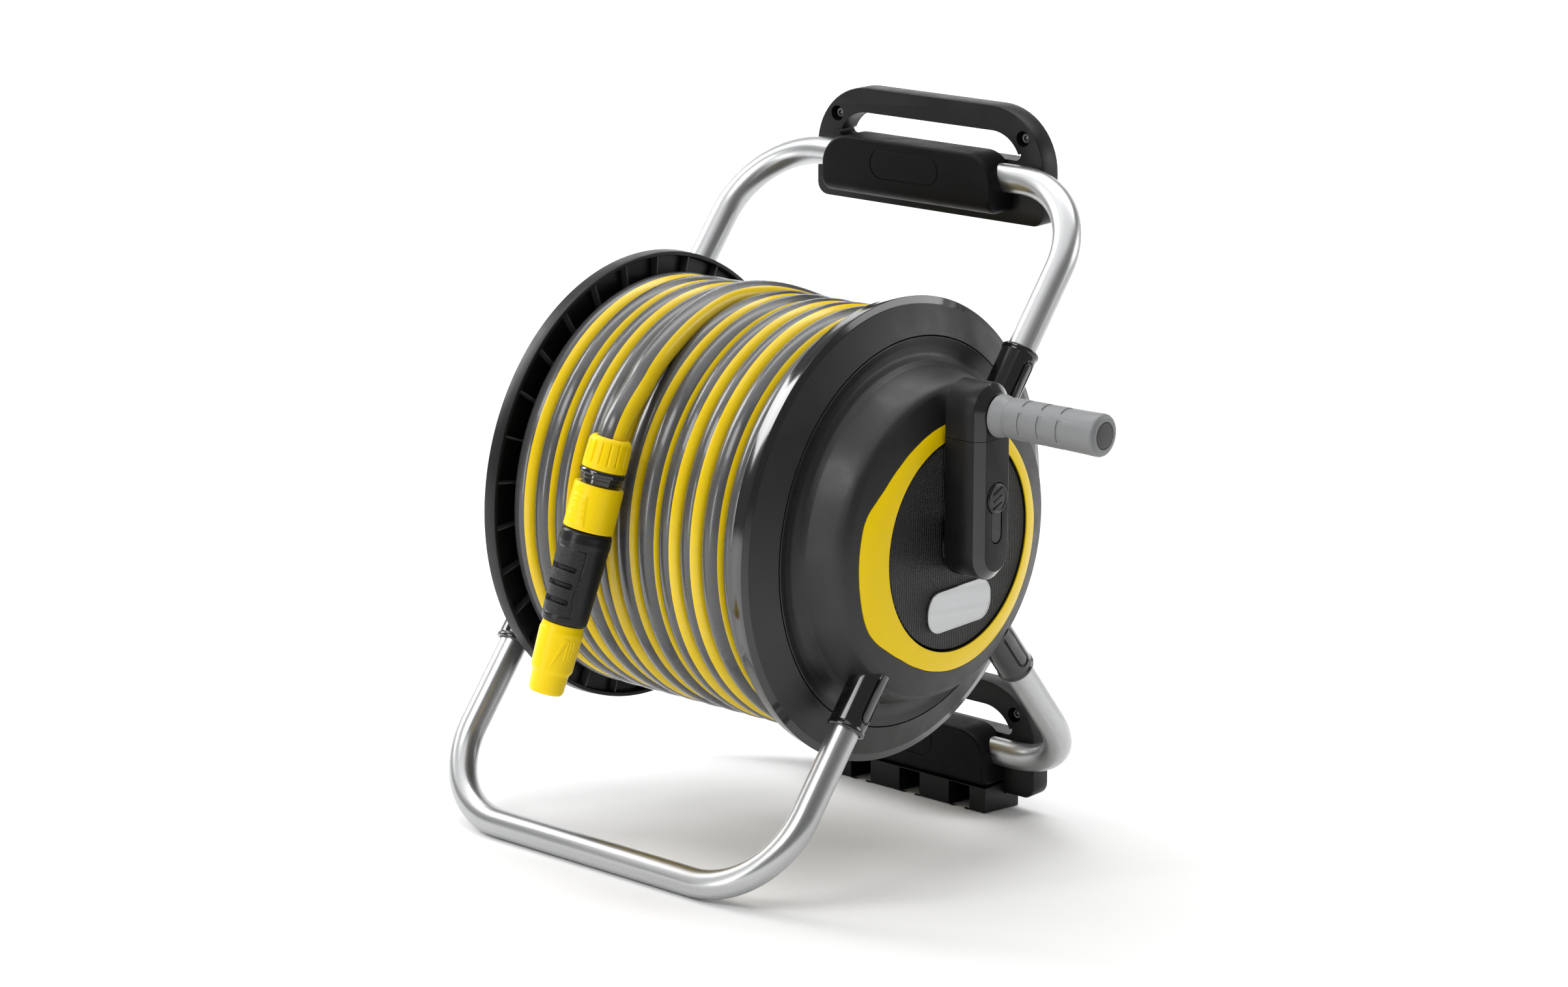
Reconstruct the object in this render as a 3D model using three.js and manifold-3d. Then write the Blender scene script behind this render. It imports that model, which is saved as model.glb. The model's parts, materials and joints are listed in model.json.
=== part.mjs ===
// A free-standing garden hose reel with a crank.
// Three U-shaped aluminium tubes plug into two stationary side hubs.
// Between the hubs turns a reel with 25 m of hose, a crank, a coupling and a spray nozzle.
// Millimetres, +Z up. The reel's axle runs along X and the crank is on the +X side.
// The model is drawn about the axle, leaned forward onto its feet and then set on the floor.
import * as THREE from 'three';
import { mergeVertices } from 'three/addons/utils/BufferGeometryUtils.js';
import Module from 'manifold-3d';

const wasm = await Module();
wasm.setup();

// ---------- driving dimensions, in mm and degrees ----------
const GAP = 0.3;                 // clearance between touching pieces
const TUBE_R = 11;               // outer radius of the frame tubes
const TUBE_WALL = 1.5;
const LEG_X = 167.3;             // distance of each tube leg from the middle
const REACH = 300;               // axle to the middle of each crossbar
const BEND_R = 69.3;             // bend radius of the tubes, to the tube's middle
const TUBE_START = 128;          // where a tube ends inside its socket, from the axle
const SPREAD = 50.5;             // angle of the legs from the level line, before the lean
const LEAN = 5.8;                // the stand leans forward on the accessory foot
const SOCKET_R = 14.0;
const SOCKET_RIM_R = 14.7;
const SOCKET_END = 160;
const BRIM_R = 146.2;            // side hub: brim, crown and face
const BRIM_X = 143.7;
const CROWN_EDGE_R = 113;
const CROWN_EDGE_X = 180.3;
const FACE_R = 80.3;
const FACE_X = 190.9;
const DISC_R = 79.7;             // turning disc in the middle of the right hub
const CORE_R = 98;               // winding drum
const SPINDLE_R = 14;            // water spindle on the left, inside the drum
const REEL_LEFT = -112;
const REEL_RIGHT = 118;
const RIM_LEFT_R = 176;
const RIM_RIGHT_R = 175.3;
const HOSE_R = 10.5;
const COIL_R = 161;              // outside of the wound hose
const ARM_HALF = 20.5;           // crank arm
const ARM_BACK_X = 192.6;
const ARM_FACE_X = 225;
const ARM_SPLIT_Z = 84.35;
const GRIP_Z = 102;              // crank radius
const GRIP_END_X = 321;
const PLATE_FRONT = 198.5;       // bracket plates, distance behind the axle
const PLATE_BACK = 217.5;
const COVER_FRONT = 169;

const rad = THREE.MathUtils.degToRad;
const CROSS_Y = REACH * Math.cos(rad(SPREAD));
const CROSS_Z = REACH * Math.sin(rad(SPREAD));
const HUB_HEIGHT = REACH * Math.sin(rad(SPREAD + LEAN)) + TUBE_R;

// ---------- materials ----------
function material(color, roughness, metalness) {
  return new THREE.MeshStandardMaterial({ color, roughness, metalness });
}
const aluminium = material(0xd9dadb, 0.32, 1.0);
const steel = material(0xb8babd, 0.3, 1.0);
const blackGloss = material(0x0c0c0d, 0.15, 0.0);
const blackMatt = material(0x2c2d2e, 0.55, 0.0);
const darkGrey = material(0x3a3b3d, 0.6, 0.0);
const yellow = material(0xf7d708, 0.35, 0.0);
const gripGrey = material(0x9a9b9d, 0.6, 0.0);
const hoseGrey = material(0x5a5b5d, 0.35, 0.0);
const rubber = material(0x141414, 0.8, 0.0);
const brass = material(0xc8a24a, 0.3, 1.0);

// ---------- helpers ----------
const stand = new THREE.Group();

// Shared vertices merged, faces turned outwards.
function closed(geometry) {
  geometry.deleteAttribute('normal');
  geometry.deleteAttribute('uv');
  const g = mergeVertices(geometry, 1e-4);
  const p = g.attributes.position;
  const index = g.index.array;
  const a = new THREE.Vector3();
  const b = new THREE.Vector3();
  const c = new THREE.Vector3();
  let volume = 0;
  for (let i = 0; i < index.length; i += 3) {
    a.fromBufferAttribute(p, index[i]);
    b.fromBufferAttribute(p, index[i + 1]);
    c.fromBufferAttribute(p, index[i + 2]);
    volume += a.dot(b.cross(c));
  }
  if (volume < 0) {
    for (let i = 0; i < index.length; i += 3) {
      const t = index[i];
      index[i] = index[i + 1];
      index[i + 1] = t;
    }
  }
  return g;
}

function solid(geometry) {
  const g = closed(geometry);
  const vertProperties = Float32Array.from(g.attributes.position.array);
  const triVerts = Uint32Array.from(g.index.array);
  return new wasm.Manifold(new wasm.Mesh({ numProp: 3, vertProperties, triVerts }));
}

function geometryOf(manifold) {
  const m = manifold.getMesh();
  const g = new THREE.BufferGeometry();
  g.setAttribute('position', new THREE.BufferAttribute(m.vertProperties, 3));
  g.setIndex(new THREE.BufferAttribute(m.triVerts, 1));
  return g;
}

// base, with each of adds joined on and each of cuts taken away.
function shaped(base, adds = [], cuts = []) {
  let s = solid(base);
  for (const piece of adds) {
    s = s.add(solid(piece));
  }
  for (const piece of cuts) {
    s = s.subtract(solid(piece));
  }
  return geometryOf(s);
}

function common(a, b) {
  return geometryOf(solid(a).intersect(solid(b)));
}

function put(name, geometry, mat) {
  const flat = closed(geometry.clone()).toNonIndexed();
  flat.computeVertexNormals();
  const mesh = new THREE.Mesh(flat, mat);
  mesh.name = name;
  stand.add(mesh);
  return mesh;
}

// A solid turned about the axle, from pairs of x and radius. Pairs that leave the axis close up.
function turned(pairs, segments = 32) {
  const points = pairs.map(([x, r]) => new THREE.Vector2(r, x));
  const onAxis = pairs[0][1] === 0 && pairs[pairs.length - 1][1] === 0;
  if (!onAxis) {
    points.push(points[0].clone());
  }
  return new THREE.LatheGeometry(points, segments).rotateZ(-Math.PI / 2);
}

// A ring about the axle.
function ring(x0, x1, inner, outer, segments = 32) {
  if (inner === 0) {
    return turned([[x0, 0], [x0, outer], [x1, outer], [x1, 0]], segments);
  }
  return turned([[x0, inner], [x0, outer], [x1, outer], [x1, inner]], segments);
}

// A shape drawn in (y, z), extruded along +X from x0 to x1.
function alongX(shape, x0, x1, options = {}) {
  const g = new THREE.ExtrudeGeometry(shape, { depth: x1 - x0, bevelEnabled: false, ...options });
  const turn = new THREE.Matrix4().set(0, 0, 1, x0, 1, 0, 0, 0, 0, 1, 0, 0, 0, 0, 0, 1);
  return g.applyMatrix4(turn);
}

// A shape drawn in (x, z), extruded along Y from y0 to y1.
function alongY(shape, y0, y1, options = {}) {
  const g = new THREE.ExtrudeGeometry(shape, { depth: y1 - y0, bevelEnabled: false, ...options });
  const turn = new THREE.Matrix4().set(1, 0, 0, 0, 0, 0, -1, y1, 0, 1, 0, 0, 0, 0, 0, 1);
  return g.applyMatrix4(turn);
}

function box(x0, x1, y0, y1, z0, z1) {
  const g = new THREE.BoxGeometry(x1 - x0, y1 - y0, z1 - z0);
  return g.translate((x0 + x1) / 2, (y0 + y1) / 2, (z0 + z1) / 2);
}

// A rounded rectangle; top and bottom corners may have different radii.
function roundedRect(x0, x1, z0, z1, low, high = low, curve = THREE.Shape) {
  const s = new curve();
  s.moveTo(x0 + low, z0);
  s.lineTo(x1 - low, z0);
  s.absarc(x1 - low, z0 + low, low, -Math.PI / 2, 0, false);
  s.lineTo(x1, z1 - high);
  s.absarc(x1 - high, z1 - high, high, 0, Math.PI / 2, false);
  s.lineTo(x0 + high, z1);
  s.absarc(x0 + high, z1 - high, high, Math.PI / 2, Math.PI, false);
  s.lineTo(x0, z0 + low);
  s.absarc(x0 + low, z0 + low, low, Math.PI, Math.PI * 1.5, false);
  return s;
}

function circleShape(radius, segments) {
  const s = new THREE.Shape();
  for (let i = 0; i < segments; i++) {
    const a = (i / segments) * Math.PI * 2;
    const point = [radius * Math.cos(a), radius * Math.sin(a)];
    if (i === 0) {
      s.moveTo(...point);
    } else {
      s.lineTo(...point);
    }
  }
  s.closePath();
  return s;
}

// A solid of revolution about any line, from pairs of distance along the line and radius.
function spindle(pairs, start, direction, segments = 24) {
  const g = turned(pairs, segments);
  const q = new THREE.Quaternion();
  q.setFromUnitVectors(new THREE.Vector3(1, 0, 0), direction.clone().normalize());
  return g.applyQuaternion(q).translate(start.x, start.y, start.z);
}

function point(x, radius, degrees) {
  return new THREE.Vector3(x, radius * Math.cos(rad(degrees)), radius * Math.sin(rad(degrees)));
}

// ---------- frame tubes ----------
// The middle line of a U-shaped tube, in the plane through the axle at the given angle.
function tubePath(angle) {
  const at = (x, t) => point(x, t, angle);
  const bend = BEND_R * 0.5523;
  const low = REACH - BEND_R;
  const side = LEG_X - BEND_R;
  const path = new THREE.CurvePath();
  path.add(new THREE.LineCurve3(at(-LEG_X, TUBE_START), at(-LEG_X, low)));
  path.add(new THREE.CubicBezierCurve3(at(-LEG_X, low), at(-LEG_X, low + bend),
    at(-side - bend, REACH), at(-side, REACH)));
  path.add(new THREE.LineCurve3(at(-side, REACH), at(side, REACH)));
  path.add(new THREE.CubicBezierCurve3(at(side, REACH), at(side + bend, REACH),
    at(LEG_X, low + bend), at(LEG_X, low)));
  path.add(new THREE.LineCurve3(at(LEG_X, low), at(LEG_X, TUBE_START)));
  return path;
}
const tubeSection = circleShape(TUBE_R, 12);
const tubeBore = circleShape(TUBE_R - TUBE_WALL, 8);
tubeSection.holes.push(tubeBore);
const legAngles = {
  handle: SPREAD,
  front_leg: 180 + SPREAD,
  rear_leg: 360 - SPREAD,
};
for (const [name, angle] of Object.entries(legAngles)) {
  const options = { steps: 28, bevelEnabled: false, extrudePath: tubePath(angle) };
  put('tube_' + name, new THREE.ExtrudeGeometry(tubeSection, options), aluminium);
}

// ---------- side hubs ----------
// Radius and x of the sloping face, which rises from the crown's edge to the disc's opening.
function faceX(r) {
  return CROWN_EDGE_X + (FACE_X - CROWN_EDGE_X) * (CROWN_EDGE_R - r) / (CROWN_EDGE_R - FACE_R);
}
const crown = [
  [BRIM_X, BRIM_R], [142.3, 139.5], [142.6, 133], [145.4, 128.6], [150, 126.3],
  [172, 120.0], [177.2, 117.4], [CROWN_EDGE_X, CROWN_EDGE_R], [FACE_X, FACE_R],
];
const hubInside = [
  [FACE_X - 3.2, FACE_R], [177.2, 111.5], [174.3, 114.6], [150, 121.3], [142.2, 122],
  [142.2, 34], [158, 34], [158, 28.3], [134.5, 28.3], [134.5, 34], [138.2, 34],
];
// Everything a socket must stay clear of: the crown's outside, a little larger.
const crownClearance = turned([[130, 0], [130, BRIM_R + GAP],
  ...crown.map(([x, r]) => [x + 0.1, r + GAP]), [FACE_X + 1, 0]], 40);

// The yellow inlay's outline in the sloping face: radius at each angle, front at 180.
const inlayOutline = [
  [0, 97.0], [12, 94.8], [25, 93.0], [40, 92.2], [60, 92.0], [80, 92.0], [100, 92.2],
  [118, 92.8], [132, 94.2], [145, 97.0], [152, 100.3], [157, 103.6], [162, 105.0],
  [171, 105.2], [181, 105.2], [192, 105.4], [201, 106.0], [208, 105.7], [214, 103.6],
  [222, 99.8], [232, 96.8], [245, 96.0], [259, 96.6], [274, 98.0], [290, 99.6],
  [305, 100.2], [320, 99.8], [340, 98.6],
];
function inlayPrism(grow) {
  const s = new THREE.Shape();
  inlayOutline.forEach(([angle, r], i) => {
    const p = point(0, r + grow, angle);
    if (i === 0) {
      s.moveTo(p.y, p.z);
    } else {
      s.lineTo(p.y, p.z);
    }
  });
  s.closePath();
  return alongX(s, 170, 200);
}
function faceBand(below, above, inner) {
  const outer = 112;
  return turned([[faceX(inner) - below, inner], [faceX(outer) - below, outer],
    [faceX(outer) + above, outer], [faceX(inner) + above, inner]], 56);
}
const hubRight = turned([[138.2, BRIM_R], ...crown, ...hubInside], 40);
const recess = common(inlayPrism(GAP), faceBand(1.6, 6, FACE_R - 2));
put('hub_right', shaped(hubRight, [], [recess]), darkGrey);
put('yellow_inlay', common(inlayPrism(0), faceBand(1.3, 0.3, FACE_R + 0.4)), yellow);

// The left hub is the same hat, with a skirt that reaches the reel's flange.
const leftProfile = [[124.4, BRIM_R], ...crown, ...hubInside, [138.2, 142.6], [124.4, 142.6]];
const hubLeft = turned(leftProfile.map(([x, r]) => [-x, r]), 40);
put('hub_left', hubLeft, darkGrey);
put('hub_cap_left', turned([[-178, 12.9], [-178, 76], [-184, 80], [-189.5, 80],
  [-191.5, 70], [-192.5, 24], [-196, 22], [-196, 12.9]], 32), blackMatt);
put('bush_right', ring(135, 157.6, 20.1, 28), brass);
put('bush_left', ring(-157.6, -135, SPINDLE_R + 0.1, 28), brass);

// ---------- sockets ----------
for (const [name, angle] of Object.entries(legAngles)) {
  for (const side of [1, -1]) {
    const direction = point(0, 1, angle);
    const start = new THREE.Vector3(side * LEG_X, 0, 0);
    const sleeve = spindle([[112, TUBE_R + GAP], [112, SOCKET_R], [SOCKET_END - 3, SOCKET_R],
      [SOCKET_END - 2.6, SOCKET_RIM_R], [SOCKET_END, SOCKET_RIM_R],
      [SOCKET_END, TUBE_R + GAP]], start, direction, 14);
    const clear = side > 0 ? crownClearance : crownClearance.clone().scale(-1, 1, 1);
    const label = side > 0 ? '_right' : '_left';
    put('socket_' + name + label, shaped(sleeve, [], [clear]), blackGloss);
  }
}

// ---------- brackets on the two rear crossbars ----------
function bracketPlate(z) {
  const s = new THREE.Shape();
  s.moveTo(-103, z - 37);
  s.lineTo(103, z - 37);
  s.absarc(103, z - 27, 10, -Math.PI / 2, 0, false);
  s.lineTo(113, z + 3);
  s.absarc(63, z + 3, 50, 0, Math.PI / 2, false);
  s.lineTo(-63, z + 53);
  s.absarc(-63, z + 3, 50, Math.PI / 2, Math.PI, false);
  s.lineTo(-113, z - 27);
  s.absarc(-103, z - 27, 10, Math.PI, Math.PI * 1.5, false);
  const window = new THREE.Path();
  window.moveTo(-86, z + 12.6);
  window.lineTo(86, z + 12.6);
  window.absarc(86, z + 17.6, 5, -Math.PI / 2, 0, false);
  window.absarc(63, z + 5.5, 28, 0.4, Math.PI / 2, false);
  window.lineTo(-63, z + 33.5);
  window.absarc(-63, z + 5.5, 28, Math.PI / 2, Math.PI - 0.4, false);
  window.absarc(-86, z + 17.6, 5, Math.PI, Math.PI * 1.5, false);
  s.holes.push(window);
  return alongY(s, PLATE_FRONT, PLATE_BACK, { curveSegments: 5 });
}
function crossbarBore(z) {
  return ring(-150, 150, 0, TUBE_R + GAP, 16).translate(0, CROSS_Y, z);
}
function screwHoles(z, radius, depth) {
  return [-92.5, 92.5].map((x) => spindle([[0, 0], [0, radius], [depth, radius], [depth, 0]],
    new THREE.Vector3(x, PLATE_FRONT - 1, z + 30), new THREE.Vector3(0, 1, 0), 12));
}
function bracketCover(z) {
  const outline = roundedRect(-84, 84, z - 27, z + 19, 6, 24);
  return alongY(outline, COVER_FRONT, PLATE_FRONT - GAP, { curveSegments: 5 });
}
for (const [name, z] of [['top', CROSS_Z], ['foot', -CROSS_Z]]) {
  const plate = shaped(bracketPlate(z), [], [crossbarBore(z), ...screwHoles(z, 6, 8)]);
  put(name + '_bracket_plate', plate, blackMatt);
  put(name + '_bracket_cover', shaped(bracketCover(z), [], [crossbarBore(z)]), blackMatt);
  for (const [label, x] of [['_left', -92.5], ['_right', 92.5]]) {
    const screw = spindle([[0, 0], [0, 3.6], [2.4, 4.4], [2.4, 0]],
      new THREE.Vector3(x, PLATE_FRONT + 4.2, z + 30), new THREE.Vector3(0, 1, 0), 12);
    put(name + '_screw' + label, screw, steel);
  }
}

// ---------- accessory holder under the foot bracket ----------
// Its underside is drawn sloping, so that it lies flat on the floor once the stand has leaned.
const HOLDER_TOP = -CROSS_Z - 27 - GAP;
const UNDER_PLATE = -CROSS_Z - 37 - GAP;
const HOLDER_FRONT = 173;
function floorZ(y) {
  return (-HUB_HEIGHT - y * Math.sin(rad(LEAN))) / Math.cos(rad(LEAN));
}
const holderSide = new THREE.Shape();
holderSide.moveTo(HOLDER_FRONT, floorZ(HOLDER_FRONT));
holderSide.lineTo(PLATE_BACK, floorZ(PLATE_BACK));
holderSide.lineTo(PLATE_BACK, UNDER_PLATE);
holderSide.lineTo(PLATE_FRONT - GAP, UNDER_PLATE);
holderSide.lineTo(PLATE_FRONT - GAP, HOLDER_TOP);
holderSide.lineTo(HOLDER_FRONT, HOLDER_TOP);
holderSide.closePath();
// Each recess is open at the front; a low lip with a slot for a fitting's neck closes its foot.
const recesses = [-44, 7, 58].flatMap((x) => [
  box(x - 10.5, x + 10.5, 170, 196, HOLDER_TOP - 17, HOLDER_TOP + 1),
  box(x - 6, x + 6, 170, 188, -320, HOLDER_TOP - 10),
]);
const holder = shaped(alongX(holderSide, -84, 84), [], recesses);
put('accessory_holder', holder, blackMatt);

// ---------- reel ----------
put('reel_core', ring(REEL_LEFT + GAP, REEL_RIGHT - GAP, CORE_R - 4, CORE_R), blackMatt);
put('reel_flange_right', turned([
  [REEL_RIGHT, 21.4], [REEL_RIGHT, 172.4], [124.4, 173.2], [131.4, RIM_RIGHT_R], [133, 170],
  [143.3, 147.2], [139.9, 146.9], [130.6, 166.6], [121.2, 168], [121.2, 40],
  [133, 34], [133, 21.4],
], 44), darkGrey);
const leftFlange = turned([
  [-123.3, SPINDLE_R + GAP], [-123.3, RIM_LEFT_R - 0.6], [-122.6, RIM_LEFT_R], [-112.6, RIM_LEFT_R - 0.6],
  [-112.6, 172.2], [-119.6, 171], [-119.6, 102], [REEL_LEFT - GAP, 102], [REEL_LEFT - GAP, SPINDLE_R + GAP],
], 44);
const ribs = [];
for (let i = 0; i < 30; i++) {
  const rib = box(-121, -113.2, 101, 171.5, -0.8, 0.8);
  rib.rotateX(rad(i * 12 + 3));
  ribs.push(rib);
}
put('reel_flange_left', shaped(leftFlange, ribs), blackMatt);
put('crank_shaft', ring(60, 184, 0, 20), steel);
put('water_spindle', turned([[-206, 5], [-206, 9], [-176, 9], [-176, SPINDLE_R],
  [-66, SPINDLE_R], [-66, 5]], 24), brass);
put('spindle_seal', ring(-183, -179.6, 9.2, 12.6, 24), rubber);

// The outlet inside the drum carries water from the spindle to the hose's first turn.
const outletEnd = 86;
put('drum_outlet', spindle([[14.4, 0], [14.4, 9], [40, 9], [40, 12], [outletEnd, 12],
  [outletEnd, 0]], new THREE.Vector3(-86, 0, 0), point(0, 1, 20), 16), blackMatt);

// ---------- turning disc, badge and crank ----------
put('crank_disc', turned([[184.6, 0], [184.6, 77], [186.6, DISC_R], [189, DISC_R],
  [189.6, DISC_R - 0.6], [189.6, 18], [192.2, 17], [192.2, 0]], 40), darkGrey);
const badgeShape = roundedRect(-36, 37.5, -63.5, -32, 13.5);
put('badge', alongX(badgeShape, 189.9, 191.6, { curveSegments: 8 }), aluminium);

function armBody() {
  const s = new THREE.Shape();
  s.absarc(0, -1.5, ARM_HALF - 7.2, Math.PI, Math.PI * 2, false);
  s.absarc(0, 104.5, ARM_HALF - 7.2, 0, Math.PI, false);
  const bevel = { bevelEnabled: true, bevelThickness: 6, bevelSize: 7.2, bevelSegments: 3 };
  return alongX(s, 190, ARM_FACE_X - 6, { ...bevel, curveSegments: 10 });
}
function keyhole(grow) {
  const s = new THREE.Shape();
  const stem = 5.5 + grow;
  const knob = 11.4 + grow;
  const lift = Math.asin(stem / knob);
  s.absarc(0, 12, stem, Math.PI, Math.PI * 2, false);
  s.absarc(0, 40, knob, -Math.PI / 2 + lift, Math.PI * 1.5 - lift, false);
  s.closePath();
  return s;
}
const lockPocket = alongX(keyhole(0.5), 214.5, 230, { curveSegments: 9 });
const below = box(150, 260, -40, 40, ARM_SPLIT_Z - 0.15, 200);
const above = box(150, 260, -40, 40, -100, ARM_SPLIT_Z + 0.15);
const back = box(150, ARM_BACK_X, -60, 60, -100, 200);
put('crank_arm', shaped(armBody(), [], [below, back, lockPocket]), blackMatt);
put('crank_head', shaped(armBody(), [], [above, back]), blackMatt);
const lockStem = common(alongX(keyhole(0), 220, 224.7, { curveSegments: 9 }),
  box(210, 240, -20, 20, 0, 60));
const lockKnob = spindle([[0, 0], [0, 11.3], [5.6, 11.3], [6.6, 10.2], [6.6, 0]],
  new THREE.Vector3(220, 0, 40), new THREE.Vector3(1, 0, 0), 18);
put('lock_lever', shaped(lockStem, [lockKnob]), blackMatt);

// ---------- crank grip ----------
put('grip_pin', ring(ARM_FACE_X + GAP, 316, 0, 5, 16).translate(0, 0, GRIP_Z), steel);
const grip = turned([
  [226, 5.3], [226, 15.9], [228.5, 16.1], [231.5, 15.0], [237.6, 14.2], [238, 14.7],
  [252.6, 14.9], [253, 14.2], [255.4, 14.2], [255.8, 14.9], [269.6, 15.1], [270, 14.4],
  [272.6, 14.4], [273, 15.1], [287, 15.3], [287.4, 14.6], [290.2, 14.6], [290.6, 15.3],
  [312, 15.7], [317, 14.9], [320, 12.8], [GRIP_END_X, 10.6], [GRIP_END_X, 8.7],
  [317.6, 8.7], [317.6, 5.3],
], 18).translate(0, 0, GRIP_Z);
put('grip_sleeve', grip, gripGrey);
put('grip_end_cap', ring(317.9, 320.6, 0, 8.4, 20).translate(0, 0, GRIP_Z), blackMatt);

// ---------- hose, coupling and nozzle ----------
// The free end climbs onto the outer layer behind and below, crosses it leftwards, sinks in
// between two turns at the top and rises again to the coupling in front.
// Each row: angle, place along the axle, radius of the hose's middle line.
const ON_TOP = COIL_R + GAP + HOSE_R + 0.4;
const nutTop = new THREE.Vector3(-0.2, -166, 80.3);
const tip = new THREE.Vector3(-21.5, -218, -105.5);
const down = tip.clone().sub(nutTop).normalize();
const crossing = [
  [-84, 93, ON_TOP], [-60, 80, ON_TOP], [-36, 69, ON_TOP], [-12, 59, ON_TOP],
  [14, 47, ON_TOP], [28, 36, 169], [40, 24, 162], [51, 13, 156], [62, 3, 153.2],
  [74, -5, 154.2], [85, -12, 156.8], [97, -15.7, 158.8], [111, -12.4, 162.2],
  [124.5, -7.9, 167.7], [137, -3.4, 174.8],
].map(([angle, x, radius]) => point(x, radius, angle));
crossing.push(nutTop.clone().addScaledVector(down, -12));
crossing.push(nutTop.clone().addScaledVector(down, -GAP));
const hosePath = new THREE.CatmullRomCurve3(crossing, false, 'centripetal');
function alongHose(radius) {
  return new THREE.ExtrudeGeometry(circleShape(radius, 10),
    { steps: 40, bevelEnabled: false, extrudePath: hosePath });
}
const coil = ring(REEL_LEFT + 0.4, REEL_RIGHT - 0.4, CORE_R + GAP, COIL_R, 48);
put('hose_coil', shaped(coil, [], [alongHose(HOSE_R + GAP)]), hoseGrey);
put('hose_tail', alongHose(HOSE_R), hoseGrey);

function onHose(pairs, segments = 18) {
  return spindle(pairs, nutTop, down, segments);
}
put('hose_nut', onHose([[0, 0], [0, 14.4], [3, 16], [20, 16.6], [23.5, 16.2], [23.5, 0]]), yellow);
put('coupling_neck', onHose([[23.8, 0], [23.8, 17.4], [27.5, 17.4], [28, 15.4], [31.4, 15.4],
  [31.8, 13.8], [70, 13.8], [70, 0]]), blackGloss);
put('coupling_sleeve', onHose([[35.6, 14.1], [35.6, 18.2], [37.4, 18.6], [68, 19.4],
  [69.8, 19.2], [69.8, 14.1]]), yellow);
const NOZZLE_START = 70.3;
const NOZZLE_END = 140;
put('nozzle_body', onHose([[NOZZLE_START, 0], [NOZZLE_START, 18.8], [76, 19.2], [100, 18.6],
  [138, 16.6], [NOZZLE_END, 16], [NOZZLE_END, 0]]), blackMatt);
put('nozzle_tip', onHose([[NOZZLE_END + GAP, 0], [NOZZLE_END + GAP, 15.6], [143, 16.2],
  [176, 15], [177.6, 13.8], [192, 12.8], [194, 12.2], [194, 0]]), yellow);

// ---------- water inlet on the left hub ----------
const elbowPath = new THREE.CurvePath();
const elbowBend = new THREE.Vector3(-224, 0, 0);
const elbowOut = point(0, 1, 300);
elbowPath.add(new THREE.LineCurve3(new THREE.Vector3(-206.4, 0, 0), new THREE.Vector3(-212, 0, 0)));
elbowPath.add(new THREE.QuadraticBezierCurve3(new THREE.Vector3(-212, 0, 0), elbowBend,
  elbowBend.clone().addScaledVector(elbowOut, 14)));
elbowPath.add(new THREE.LineCurve3(elbowBend.clone().addScaledVector(elbowOut, 14),
  elbowBend.clone().addScaledVector(elbowOut, 22)));
const elbow = new THREE.ExtrudeGeometry(circleShape(11.5, 12),
  { steps: 9, bevelEnabled: false, extrudePath: elbowPath });
const elbowCollar = ring(-211, -196.4, 9.3, 14.5, 16);
put('inlet_elbow', shaped(elbow, [elbowCollar]), blackMatt);
put('inlet_nipple', spindle([[22.3, 0], [22.3, 13], [27, 13], [27, 8.4], [36, 8.4],
  [36, 9.6], [40, 9.6], [40, 7.2], [49, 6.8], [49, 0]], elbowBend, elbowOut, 16), yellow);

// ---------- lean the stand onto its feet and set it on the floor ----------
stand.rotation.x = rad(LEAN);
stand.position.z = HUB_HEIGHT;
stand.updateMatrixWorld(true);
// The origin is the middle of the object's box at floor level; the free hose end isn't counted.
const onTheHose = ['hose_coil', 'hose_tail', 'hose_nut', 'coupling_neck', 'coupling_sleeve',
  'nozzle_body', 'nozzle_tip'];
const bounds = new THREE.Box3();
for (const mesh of stand.children) {
  if (!onTheHose.includes(mesh.name)) {
    bounds.union(new THREE.Box3().setFromObject(mesh, true));
  }
}
stand.position.x = -(bounds.min.x + bounds.max.x) / 2;
stand.position.y = -(bounds.min.y + bounds.max.y) / 2;

const reelStand = new THREE.Group();
reelStand.add(stand);

export default reelStand;
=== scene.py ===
# %% [markdown]
# # A garden hose reel on three bent tubes
# The frame is already made: a CAD model with its axles, tubes and joints in the right places.
# Here it gets its looks. Each cell makes one thing, and tells why it is made that way.

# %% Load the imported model
import json
import math
import bpy
import bmesh
import numpy as np
from mathutils import Matrix, Vector


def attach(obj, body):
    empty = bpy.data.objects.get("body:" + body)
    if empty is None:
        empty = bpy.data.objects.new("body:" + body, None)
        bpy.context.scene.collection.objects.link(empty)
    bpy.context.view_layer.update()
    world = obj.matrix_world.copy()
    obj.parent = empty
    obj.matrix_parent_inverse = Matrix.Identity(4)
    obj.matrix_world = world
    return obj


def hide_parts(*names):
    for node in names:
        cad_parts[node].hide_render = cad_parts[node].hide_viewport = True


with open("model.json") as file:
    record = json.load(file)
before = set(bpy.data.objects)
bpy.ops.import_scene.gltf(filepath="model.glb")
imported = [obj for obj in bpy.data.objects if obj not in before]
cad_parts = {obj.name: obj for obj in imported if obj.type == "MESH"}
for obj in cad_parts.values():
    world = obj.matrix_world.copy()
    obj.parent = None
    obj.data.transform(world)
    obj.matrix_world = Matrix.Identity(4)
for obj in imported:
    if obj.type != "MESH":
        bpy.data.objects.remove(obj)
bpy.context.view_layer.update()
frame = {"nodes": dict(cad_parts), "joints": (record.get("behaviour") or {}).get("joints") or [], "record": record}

# %% [markdown]
# The stand leans forward by a few degrees, so drawing it upright would be awkward.
# The trick is a drawing frame: millimetres, with the reel's axle as the X axis and the
# lean taken out. One matrix, STAND, then carries every point to its real place. The axle's
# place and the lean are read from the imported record, so nothing has to be fitted by eye.

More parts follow.
